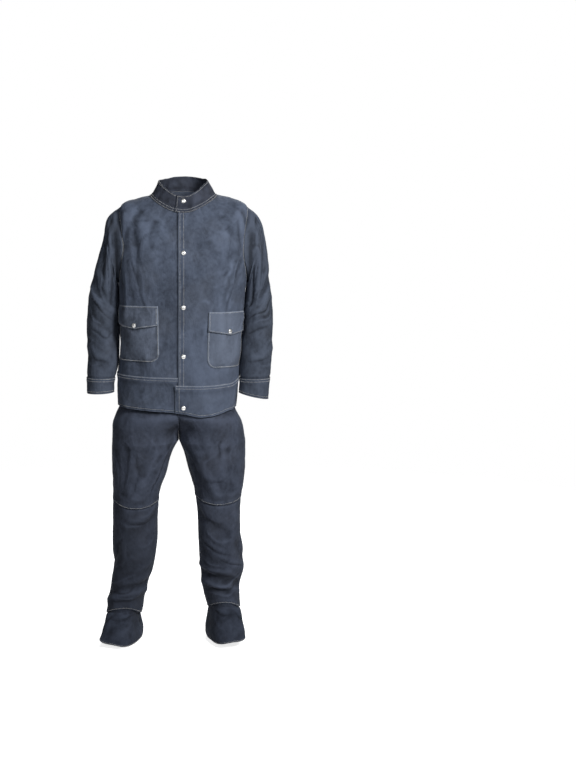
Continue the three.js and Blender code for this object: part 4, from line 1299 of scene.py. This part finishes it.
def bag(pocket):
    def surface(across, down, out=0.0):
        share = lerp(pocket["inner"], pocket["outer"], across)
        bottom = bag_bottom(pocket, share)
        drop = lerp(5.0, bottom, down)
        edge = np.minimum(across, 1 - across) * POCKET_WIDTH
        near = np.minimum(edge, bottom - drop)
        roll = seam_roll(near - 5, 0.7, 4)
        return pocket_place(pocket, share, drop, LEATHER + out + roll)

    return surface


def flap_length(pocket, share):
    low = share < pocket["point"]
    half = np.where(low, pocket["point"] - pocket["inner"], pocket["outer"] - pocket["point"])
    return FLAP_HEIGHT + FLAP_POINT * (1 - np.abs(share - pocket["point"]) / half)


def flap_place(pocket, share, drop, lift):
    free = (LEATHER + LAP_GAP) * ease(drop / FLAP_SEAM) + FLAP_FREE * ease((drop - FLAP_SEAM) / 25)
    return pocket_place(pocket, share, drop, lift + free)


def flap(pocket):
    def surface(across, down, out=0.0):
        share = lerp(pocket["inner"], pocket["outer"], across)
        drop = lerp(0.0, flap_length(pocket, share), down)
        held = np.exp(-(((share - pocket["stud"]) / 0.16) ** 2))
        flare = 1.6 * ease((down - 0.45) / 0.5) * (1 - held)
        roll = seam_roll(drop - FLAP_SEAM, 0.7, 4)
        return flap_place(pocket, share, drop, LEATHER + out + flare + roll)

    return surface


# Foot covers: drop is a share of FOOT_COVER_DROP below the trouser hem; rise and slant are in mm.
FOOT_COVER = table(
    ("drop", "instep", "heel", "wide", "rise", "slant"),
    (0.1, 0.56, 0.79, 0.86, 16, 0),
    (0.42, 0.66, 0.88, 0.94, 14, 3),
    (0.74, 0.85, 0.97, 1.02, 2, 7),
    (1, 1, 1, 1, 14, 12),
)
FEET = {
    "right": {"toe": (-0.31, -0.951), "longer": 1.0, "rows": LEG_RIGHT, "place": LEGS["right"], "side": -1},
    "left": {"toe": (0.23, -0.973), "longer": 1.13, "rows": LEG_LEFT, "place": LEGS["left"], "side": 1},
}
HEEL_RISE = 12
COVER_TUCKS = (9.1, 9.55, 10)
COVER_CREASES = table(
    FOLD,
    (20, 2.6, 96, 3.6, -2.6, 7),
    (50, 2.2, 140, 2.9, 2.2, 7),
    (88, 3.0, 150, 4.2, -2.2, 8),
    (30, 3.7, 80, 4.5, 1.8, 8),
    (200, 2.4, 300, 3.2, -2.4, 9),
    (216, 3.4, 320, 4.1, 2.2, 9),
)


def foot_cover(foot):
    rows = foot["rows"]
    toe_x, toe_y = foot["toe"]
    length = FOOT_COVER_DROP * foot["longer"]
    ankle_x = STANCE * (rows["out"][TROUSER_HEM] + rows["in"][TROUSER_HEM]) / 2
    ankle_y = rows["mid"][TROUSER_HEM]
    hem_level = CROTCH_LEVEL - LEG_LENGTH * rows["drop"][TROUSER_HEM]

    def tucked(angle, t):
        front = np.maximum(0, np.sin(np.radians(angle)))
        slack = 7 * (1 - front * front)
        turn = np.clip(np.mod(angle, 360), 0.5, 359.5)
        return foot["place"](turn, t + 0 * angle, -(LEATHER + LAP_GAP + slack))

    def lower(angle, i):
        row = {key: values[i] for key, values in FOOT_COVER.items()}
        along = np.sin(np.radians(angle))
        across = -np.cos(np.radians(angle)) * foot["side"]
        reach = np.where(along > 0, INSTEP_LENGTH * row["instep"], HEEL_LENGTH * row["heel"])
        square = 2.4 + 1.2 * np.maximum(0, along) * row["instep"]
        forward = reach * rounded(along, square)
        sideways = FOOT_COVER_HALF_WIDTH * row["wide"] * rounded(across, square)
        front = np.maximum(0, along)
        rear = np.maximum(0, -along)
        slant = row["slant"] * across * foot["side"] * np.sqrt(front)
        lift = row["rise"] * front + slant + HEEL_RISE * row["drop"] * rear
        return points(
            ankle_x + forward * toe_x - sideways * toe_y,
            ankle_y + forward * toe_y + sideways * toe_x,
            hem_level - length * row["drop"] + lift,
        )

    def bare(angle, w):
        rings = [tucked(angle, t) for t in COVER_TUCKS] + [lower(angle, i) for i in range(4)]
        return smooth_row(np.stack(rings), w, np.arange(len(w)))

    def place(angle, w, out=0.0):
        angle, w = np.broadcast_arrays(np.asarray(angle, float), np.asarray(w, float))
        shape = angle.shape
        angle, w = angle.ravel(), w.ravel()
        skin = bare(angle, w)
        normal = normal_of(bare, angle, w, -foot["side"])
        shown = ease((w - 2.2) / 1.2)
        narrow = crease_height(COVER_CREASES, np.mod(angle, 360), w, (1.1, 28))
        lift = shown * narrow + 0.6 * shown * ripple(skin, 40, 90, 91 + foot["side"])
        lift = lift + 0.12 * ripple(skin, 12, 22, 13)
        return moved(skin, normal, lift + np.ravel(out)).reshape(*shape, 3)

    return place


def cover_piece(place):
    return lambda across, down, out=0.0: place(360 * across, 6 * down, out)


def waistband(across, down, out=0.0):
    angle = 360 * across + 0 * down
    z = -WAIST_DEPTH_BELOW_NECK + lerp(WAISTBAND_HEIGHT, 0.3, down)
    level = side_row_at(-WAIST_DEPTH_BELOW_NECK + 0 * angle)
    front = ease((90 - np.abs(wrapped(angle))) / 60)
    place = body_shape(angle, level, LEATHER + LAP_GAP + HIP["slack"][0] + FRONT_SLACK * front)
    place[..., 2] = z
    return moved(place, unit(place * np.array([1, 1, 0])), 0.4 * ripple(place, 40, 90, 95) + out)


def size_of(grid_surface):
    """Mean width and length of a surface in mm, from a few lines across and down it."""
    share = np.linspace(0, 1, 60)
    wide = []
    long = []
    for at in (0.1, 0.35, 0.6, 0.9):
        for lines, given in ((wide, (share, at + 0 * share)), (long, (at + 0 * share, share))):
            run = grid_surface(*given)
            lines.append(np.linalg.norm(np.diff(run, axis=0), axis=-1).sum())
    return np.mean(wide), np.mean(long)


# Each piece of leather: its name, its surface, whether it closes on itself, its finish, the cut edges that
# show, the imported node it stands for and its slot; then its cut size and area in metres, how it is held,
# what it hangs or lies on, and the separate pieces sewn or set on it.
PIECE_COLUMNS = (
    "name", "surface", "closed", "finish", "edges", "node", "slot",
    "flat", "area", "held", "rests_on", "with_pieces",
)


def cut_piece(*row):
    return dict(zip(PIECE_COLUMNS, row))


def sided(sizes, name, surface, closed, finish, edges, node, slot, rests_on, with_pieces=()):
    """The same hung piece for each side in sizes; a star in a text stands for the side's name."""
    made = []
    for side, (flat, area) in sizes.items():
        one, stands_for = (text.replace("*", side) for text in (name, node))
        under, upon = (tuple(text.replace("*", side) for text in texts) for texts in (rests_on, with_pieces))
        made.append(cut_piece(
            one, surface(side), closed, finish, edges, stands_for, slot, flat, area, "hung", under, upon,
        ))
    return made


PIECES = (
    cut_piece(
        "jacket_front_left_leather", left_front, False, JACKET_SUEDE, "l", "jacket_front_left",
        "jacket_leather", (0.27, 0.63), 0.157, "hung", ("jacket_back", "sleeve_left"),
        (
            "stitching_front_left", "press_stud_front_top",
            "press_stud_front_middle", "press_stud_front_bottom",
        ),
    ),
    cut_piece(
        "jacket_front_right_leather", right_front, False, JACKET_SUEDE, "", "jacket_front_right",
        "jacket_leather", (0.28, 0.61), 0.157, "hung", ("jacket_back", "sleeve_right"),
        ("stitching_front_right",),
    ),
    cut_piece(
        "jacket_back_leather", back_panel, False, JACKET_SUEDE, "", "jacket_back", "jacket_leather",
        (0.475, 0.64), 0.29, "hung", ("sleeve_left", "sleeve_right"), ("stitching_back",),
    ),
    cut_piece(
        "hem_band_leather", hem_band, False, JACKET_SUEDE, "ltb", "hem_band", "jacket_leather",
        (1.13, 0.104), 0.1165, "hung", ("jacket_front_left", "jacket_front_right", "jacket_back"),
        ("stitching_hem_band", "press_stud_hem"),
    ),
    cut_piece(
        "collar_leather_piece", collar, False, COLLAR_SUEDE, "lrtb", "collar", "collar_leather",
        (0.64, 0.055), 0.0345, "laid", ("jacket_front_left", "jacket_front_right", "jacket_back"),
        ("stitching_collar", "press_stud_collar"),
    ),
    *sided(
        {"left": ((0.42, 0.465), 0.167), "right": ((0.42, 0.465), 0.168)}, "sleeve_*_leather",
        lambda side: arm_piece(SLEEVES[side]), True, SLEEVE_SUEDE, "", "sleeve_*", "jacket_leather",
        ("jacket_front_*", "jacket_back"),
    ),
    *sided(
        {"left": ((0.325, 0.058), 0.0187), "right": ((0.318, 0.05), 0.0157)}, "cuff_*_leather",
        lambda side: cuff_piece(SLEEVES[side]), True, SLEEVE_SUEDE, "b", "cuff_*", "jacket_leather",
        ("sleeve_*",), ("stitching_sleeve_*",),
    ),
    *sided(
        {"right": ((0.18, 0.17), 0.0285), "left": ((0.167, 0.17), 0.026)}, "pocket_*_bag",
        lambda side: bag(POCKETS[side]), False, POCKET_SUEDE, "lrb", "pocket_*", "pocket_leather",
        ("jacket_front_*",), ("stitching_pocket_*",),
    ),
    *sided(
        {"right": ((0.173, 0.067), 0.0115), "left": ((0.16, 0.067), 0.0106)}, "pocket_*_flap",
        lambda side: flap(POCKETS[side]), False, POCKET_SUEDE, "lrtb", "pocket_flap_*", "pocket_leather",
        ("jacket_front_*", "pocket_*"), ("press_stud_pocket_*",),
    ),
    *sided(
        {"right": ((0.545, 0.57), 0.305), "left": ((0.545, 0.565), 0.298)}, "thigh_*_leather",
        lambda side: thigh_piece(LEGS[side]), True, TROUSER_SUEDE, "b", "trouser_thigh_*", "trouser_leather",
        ("waistband",), ("stitching_leg_*",),
    ),
    *sided(
        {"right": ((0.49, 0.415), 0.198), "left": ((0.49, 0.405), 0.1945)}, "shin_*_leather",
        lambda side: shin_piece(LEGS[side]), True, TROUSER_SUEDE, "b", "trouser_shin_*", "trouser_leather",
        ("trouser_thigh_*",),
    ),
    cut_piece(
        "waistband_leather", waistband, True, TROUSER_SUEDE, "tb", "waistband", "trouser_leather",
        (0.805, 0.038), 0.0304, "laid", ("trouser_thigh_left", "trouser_thigh_right"), (),
    ),
    *sided(
        {"right": ((0.445, 0.163), 0.0655), "left": ((0.44, 0.178), 0.073)}, "foot_cover_*_leather",
        lambda side: cover_piece(foot_cover(FEET[side])), True, COVER_SUEDE, "b", "foot_cover_*",
        "trouser_leather", ("trouser_shin_*",), ("stitching_foot_cover_*",),
    ),
)
SURFACES = {piece["name"]: piece["surface"] for piece in PIECES}
for piece in PIECES:
    wide, long = size_of(piece["surface"])
    dress(leather_piece(piece, wide, long), piece["node"])


def seat_line(surface, across, down, out=0.0):
    """A line of points on a piece, with the way out of the leather at each, in mm."""
    across, down = np.broadcast_arrays(np.asarray(across, float), np.asarray(down, float))
    on = surface(across, down, 0.0)
    outward = unit(surface(across, down, 1.0) - on)
    return moved(on, outward, out), outward


def even_stops(line, outward, pitch):
    """Places, headings and ways out at an even pitch along a line."""
    run = np.concatenate([[0], np.cumsum(np.linalg.norm(np.diff(line, axis=0), axis=-1))])
    stops = np.arange(pitch / 2, run[-1] - pitch / 3, pitch)

    def read(rows, at):
        return np.stack([np.interp(at, run, rows[:, i]) for i in range(3)], axis=-1)

    heading = unit(read(line, stops + pitch / 2) - read(line, stops - pitch / 2))
    return read(line, stops), heading, unit(read(outward, stops))


def copied(bm, count):
    """Copies the first ball of a new mesh until there are count of them, one after another."""
    ball = (len(bm.verts), len(bm.edges), len(bm.faces))
    done = 1
    while done < count:
        more = min(done, count - done)
        lots = zip((bm.verts, bm.edges, bm.faces), ball)
        chosen = [part for kind, each in lots for part in list(kind)[:each * more]]
        bmesh.ops.duplicate(bm, geom=chosen)
        done += more
    return ball[0]


def stitched(name, lines):
    """Rows of stitches along lines of (places, ways out): one small round thread for each stitch."""
    stops = [even_stops(line, outward, STITCH_PITCH) for line, outward in lines]
    spots, headings, aways = (np.concatenate(part) for part in zip(*stops))
    bm = bmesh.new()
    bmesh.ops.create_icosphere(bm, subdivisions=1, radius=1)
    corners = copied(bm, len(spots))
    mesh = mesh_of(bm, name)
    places = np.empty(len(mesh.vertices) * 3)
    mesh.vertices.foreach_get("co", places)
    places = places.reshape(len(spots), corners, 3)
    ways = np.stack([headings, np.cross(aways, headings), aways], axis=1)
    half = np.array([STITCH_LENGTH, STITCH_WIDTH, STITCH_WIDTH * 0.84]) / 2
    places = (places * half) @ ways + (spots + aways * STITCH_LIFT)[:, None]
    mesh.vertices.foreach_set("co", (places * MM).ravel())
    mesh.update()
    mesh.shade_smooth()
    mesh.materials.append(THREAD)
    dress(link(name, mesh), None)


SHARE = np.linspace(0, 1, 240)


def rows_beside(surface, edge, gaps, start=0.0, end=1.0):
    """Stitch rows along one edge of a piece, at distances from it in mm."""
    upright = edge in ("left", "right")
    far = edge in ("right", "bottom")
    along = np.linspace(start, end, 200)
    over = np.linspace(0, 0.25, 30)
    away, beside = (part.ravel() for part in np.meshgrid(1 - over if far else over, along))
    given = (away, beside) if upright else (beside, away)
    steps = surface(*given).reshape(len(along), len(over), 3)
    run = np.cumsum(np.linalg.norm(np.diff(steps, axis=1), axis=-1), axis=1)
    lines = []
    for gap in gaps:
        share = np.array([np.interp(gap, row, over[1:]) for row in run])
        share = 1 - share if far else share
        lines.append(seat_line(surface, *((share, along) if upright else (along, share))))
    return lines


def bag_stitches(pocket, gap):
    """A row round the sides and the rounded bottom of a pocket."""
    inner, outer = pocket["inner"], pocket["outer"]
    wide = QUARTER_WIDTH * (outer - inner)
    steps = np.linspace(0, 1, 60)
    straight = POCKET_HEIGHT - POCKET_CORNER
    left = np.stack([0 * steps + gap, lerp(20, straight, steps)], axis=-1)
    turn = np.radians(90 * steps)
    reach = POCKET_CORNER - gap
    first = np.stack([POCKET_CORNER - reach * np.cos(turn), straight + reach * np.sin(turn)], axis=-1)
    low = 0 * steps + POCKET_HEIGHT - gap
    middle = np.stack([lerp(POCKET_CORNER, wide - POCKET_CORNER, steps), low], axis=-1)
    path = np.concatenate([left, first[1:], middle[1:]])
    other = path[::-1] * np.array([-1, 1]) + np.array([wide, 0])
    path = np.concatenate([path, other[1:]])
    share = inner + (outer - inner) * path[:, 0] / wide
    drop = path[:, 1]
    lift = LEATHER + 0 * share
    on = pocket_place(pocket, share, drop, lift)
    away = unit(pocket_place(pocket, share, drop, lift + 1) - on)
    return on, away


def flap_stitches(pocket, gap, edge):
    surface = flap(pocket)
    steps = np.linspace(0.02, 0.98, 120)
    share = lerp(pocket["inner"], pocket["outer"], steps)
    if edge == "top":
        return seat_line(surface, steps, gap / (FLAP_HEIGHT + 5))
    if edge == "bottom":
        return seat_line(surface, steps, 1 - gap / flap_length(pocket, share))
    across = gap / POCKET_WIDTH if edge == "left" else 1 - gap / POCKET_WIDTH
    return seat_line(surface, across, np.linspace(0.12, 0.94, 80))


# How far double rows of stitches lie from the edge: at the sides, and at hem band, neck and cuffs
SEAM_ROWS = (3.5, 3.5 + STITCH_ROW_GAP)
BAND_ROWS = (2.5, 2.5 + STITCH_ROW_GAP)


def all_stitches():
    def beside(name, edge, gaps, start=0.0, end=1.0):
        return rows_beside(SURFACES[name], edge, gaps, start, end)

    left = beside("jacket_front_left_leather", "left", (6, 17.5), 0.01, 0.985)
    left += beside("jacket_front_left_leather", "right", (3.5,), 0.14, 0.985)
    stitched("stitching_front_left", left)
    right = beside("jacket_front_right_leather", "right", (3.5,), 0.14, 0.985)
    stitched("stitching_front_right", right)
    back = beside("jacket_back_leather", "left", SEAM_ROWS, 0.14, 0.985)
    back += beside("jacket_back_leather", "right", SEAM_ROWS, 0.14, 0.985)
    stitched("stitching_back", back)
    band = beside("hem_band_leather", "top", BAND_ROWS, 0.002, 0.998)
    band += beside("hem_band_leather", "bottom", (7,), 0.002, 0.998)
    band += beside("hem_band_leather", "left", (4,), 0.05, 0.95)
    stitched("stitching_hem_band", band)
    neck = beside("collar_leather_piece", "bottom", BAND_ROWS, 0.003, 0.997)
    neck += beside("collar_leather_piece", "top", (4,), 0.003, 0.997)
    neck += beside("collar_leather_piece", "left", (4,), 0.06, 0.94)
    stitched("stitching_collar", neck)
    for side in ("left", "right"):
        sleeve_lines = beside(f"cuff_{side}_leather", "top", BAND_ROWS)
        sleeve_lines += beside(f"cuff_{side}_leather", "bottom", (7,))
        stitched(f"stitching_sleeve_{side}", sleeve_lines)
        pocket = POCKETS[side]
        pocket_lines = [bag_stitches(pocket, 3), flap_stitches(pocket, 3, "top")]
        pocket_lines += [flap_stitches(pocket, 3.5, edge) for edge in ("bottom", "left", "right")]
        stitched(f"stitching_pocket_{side}", pocket_lines)
        knee = beside(f"thigh_{side}_leather", "bottom", (3,))
        knee += beside(f"shin_{side}_leather", "bottom", (4,))
        stitched(f"stitching_leg_{side}", knee)
        cover = SURFACES[f"foot_cover_{side}_leather"]
        stitched(f"stitching_foot_cover_{side}", [seat_line(cover, SHARE, 0.965)])


all_stitches()


def turned_ring(bm, profile):
    """Spins a profile of (radius, height) pairs round the Z axis into a closed cap."""
    corners = [bm.verts.new((radius, 0, height)) for radius, height in profile]
    edges = [bm.edges.new(pair) for pair in zip(corners, corners[1:])]
    bmesh.ops.spin(
        bm, geom=corners + edges, cent=(0, 0, 0), axis=(0, 0, 1), angle=2 * math.pi,
        steps=40, use_merge=True, use_duplicate=False,
    )


# Profiles of a press stud as (radius, height) in mm: the domed cap, and the socket ring under it, whose dark
# metal is painted shade for the shadow under the cap
CAP_PROFILE = (
    (0.0, 3.55), (1.6, 3.5), (3.1, 3.3), (4.5, 2.95), (5.7, 2.4),
    (6.5, 1.75), (6.75, 1.2), (6.6, 0.9), (6.2, 0.75), (0.0, 0.7),
)
SOCKET_PROFILE = ((0.0, 0.75), (6.9, 0.75), (7.35, 0.55), (7.5, 0.25), (7.5, -0.1), (0.0, -0.1))


def stud(name, seat, outward, node):
    """A press stud set on the leather at seat, facing outward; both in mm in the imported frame."""
    bm = bmesh.new()
    turned_ring(bm, CAP_PROFILE)
    turned_ring(bm, SOCKET_PROFILE)
    bmesh.ops.remove_doubles(bm, verts=bm.verts, dist=1e-4)
    for i, face in enumerate(bm.faces):
        centre = face.calc_center_median()
        socket = centre.z < 0.74 or (centre.z < 0.8 and math.hypot(centre.x, centre.y) > 6.4)
        # The socket ring's faces take the dark painted-shade metal.
        face.material_index = 1 if socket else 0
    bmesh.ops.recalc_face_normals(bm, faces=bm.faces)
    turn = Vector(outward).to_track_quat("Z", "Y").to_matrix().to_4x4()
    place = Matrix.Scale(MM, 4) @ Matrix.Translation(Vector(seat)) @ turn
    bmesh.ops.transform(bm, matrix=place, verts=bm.verts)
    mesh = mesh_of(bm, name)
    mesh.shade_smooth()
    mesh.materials.append(CAP_METAL)
    mesh.materials.append(PAINTED_SHADE_SOCKET_METAL)
    dress(link(name, mesh), node)


def on_front(angle, row, out=0.0):
    angle = np.array([float(angle)])
    row = np.array([float(row)])
    return body_place(angle, row, out)[0], body_normal(angle, row)[0]


STUD_SEAT = 0.25
COLLAR_STUD = 0.67
STUD_SHARES = {"front_top": 0.258, "front_middle": 0.509, "front_bottom": 0.736, "hem": 0.976}
for name, share in STUD_SHARES.items():
    row = body_row_at(np.array([0.0]), np.array([-JACKET_LENGTH * share]))[0]
    seat, outward = on_front(0, row, STUD_SEAT)
    stud(f"press_stud_{name}", seat, outward, f"stud_{name}")
for name, pocket in POCKETS.items():
    across = (pocket["stud"] - pocket["inner"]) / (pocket["outer"] - pocket["inner"])
    down = FLAP_HEIGHT / flap_length(pocket, pocket["stud"])
    seat, outward = seat_line(flap(pocket), [across], [down], STUD_SEAT)
    stud(f"press_stud_pocket_{name}", seat[0], outward[0], f"stud_pocket_{name}")
collar_spot = np.array([0.0])
seat = collar_place(collar_spot, np.array([COLLAR_HEIGHT * COLLAR_STUD]), STUD_SEAT)[0]
above = collar_place(collar_spot, np.array([COLLAR_HEIGHT * 0.8]), STUD_SEAT)[0]
beside = collar_place(collar_spot + 4, np.array([COLLAR_HEIGHT * COLLAR_STUD]), STUD_SEAT)[0]
stud("press_stud_collar", seat, unit(np.cross(beside - seat, above - seat)), "stud_collar")


FLOOR_LEVEL = -1.449


def area_light(name, place, target, size, power, colour=(1, 1, 1)):
    """A soft round lamp that faces a point."""
    lamp = bpy.data.lights.new(name, "AREA")
    lamp.shape = "DISK"
    lamp.size = size
    lamp.energy = power
    lamp.color = colour
    made = link(name, lamp)
    made.location = place
    made.rotation_euler = (Vector(target) - Vector(place)).to_track_quat("-Z", "Y").to_euler()


def studio():
    """A pale floor, a white surround and large soft lamps."""
    world = bpy.data.worlds.new("studio")
    bpy.context.scene.world = world
    world.use_nodes = True
    world.node_tree.nodes["Background"].inputs["Color"].default_value = (1, 1, 1, 1)
    seen = world.node_tree.nodes.new("ShaderNodeLightPath")
    bright = world.node_tree.nodes.new("ShaderNodeMapRange")
    bright.inputs["To Min"].default_value = 0.3
    world.node_tree.links.new(seen.outputs["Is Camera Ray"], bright.inputs["Value"])
    world.node_tree.links.new(bright.outputs[0], world.node_tree.nodes["Background"].inputs["Strength"])
    world.cycles_visibility.diffuse = False
    bm = bmesh.new()
    bmesh.ops.create_circle(bm, cap_ends=True, segments=96, radius=4)
    bmesh.ops.translate(bm, verts=bm.verts, vec=(0, 0, FLOOR_LEVEL))
    mesh = mesh_of(bm, "studio_floor")
    floor = link("studio_floor", mesh)
    paper = Finish("pale_floor")
    place = paper.place()
    speckle = paper.noise(place, 3, 2, 0.5)
    reach = paper.node("ShaderNodeVectorMath", {"operation": "LENGTH"}, {0: place}, "Value")
    fade = 1 - paper.span(reach, 2.1, 3.6)
    tone = paper.blend(speckle, (0.9, 0.9, 0.9, 1), (0.93, 0.93, 0.93, 1))
    paper.set(Base_Color=tone, Roughness=0.9, Alpha=fade)
    paper.set(Emission_Color=(1, 1, 1, 1), Emission_Strength=0.78)
    mesh.materials.append(paper.material)
    floor.visible_diffuse = False
    area_light("key", (1.85, -2.75, 1.2), (0, 0, -0.35), 1.0, 128, (1, 0.99, 0.97))
    area_light("fill", (-1.1, -3.7, 0.6), (0, 0, -0.5), 1.3, 34, (0.97, 0.985, 1))
    area_light("back", (0.4, 2.8, 1.4), (0, 0, -0.5), 2.0, 95, (0.98, 0.99, 1))


# The photograph is 768 pixels high and 576 wide, and the suit's middle line stands at pixel 183.5 across
PHOTO_HEIGHT = 768
PHOTO_WIDTH = 576
MIDDLE_LINE = 183.5
# The camera's lens and sensor in mm, its place in metres and its tilt downward in degrees
LENS = 62
SENSOR = 36
CAMERA_PLACE = (0, -4.2, -0.07)
CAMERA_TILT = 7.1


def camera():
    """The photograph's view: level with the chest, a little above, looking slightly down."""
    lens = bpy.data.cameras.new("view")
    made = link("view", lens)
    lens.lens = LENS
    lens.sensor_width = SENSOR
    lens.shift_x = (PHOTO_WIDTH / 2 - MIDDLE_LINE) / PHOTO_HEIGHT
    made.location = CAMERA_PLACE
    made.rotation_euler = (math.radians(90 - CAMERA_TILT), 0, 0)
    bpy.context.scene.camera = made


camera()
studio()
bpy.context.scene.view_settings.view_transform = "Standard"
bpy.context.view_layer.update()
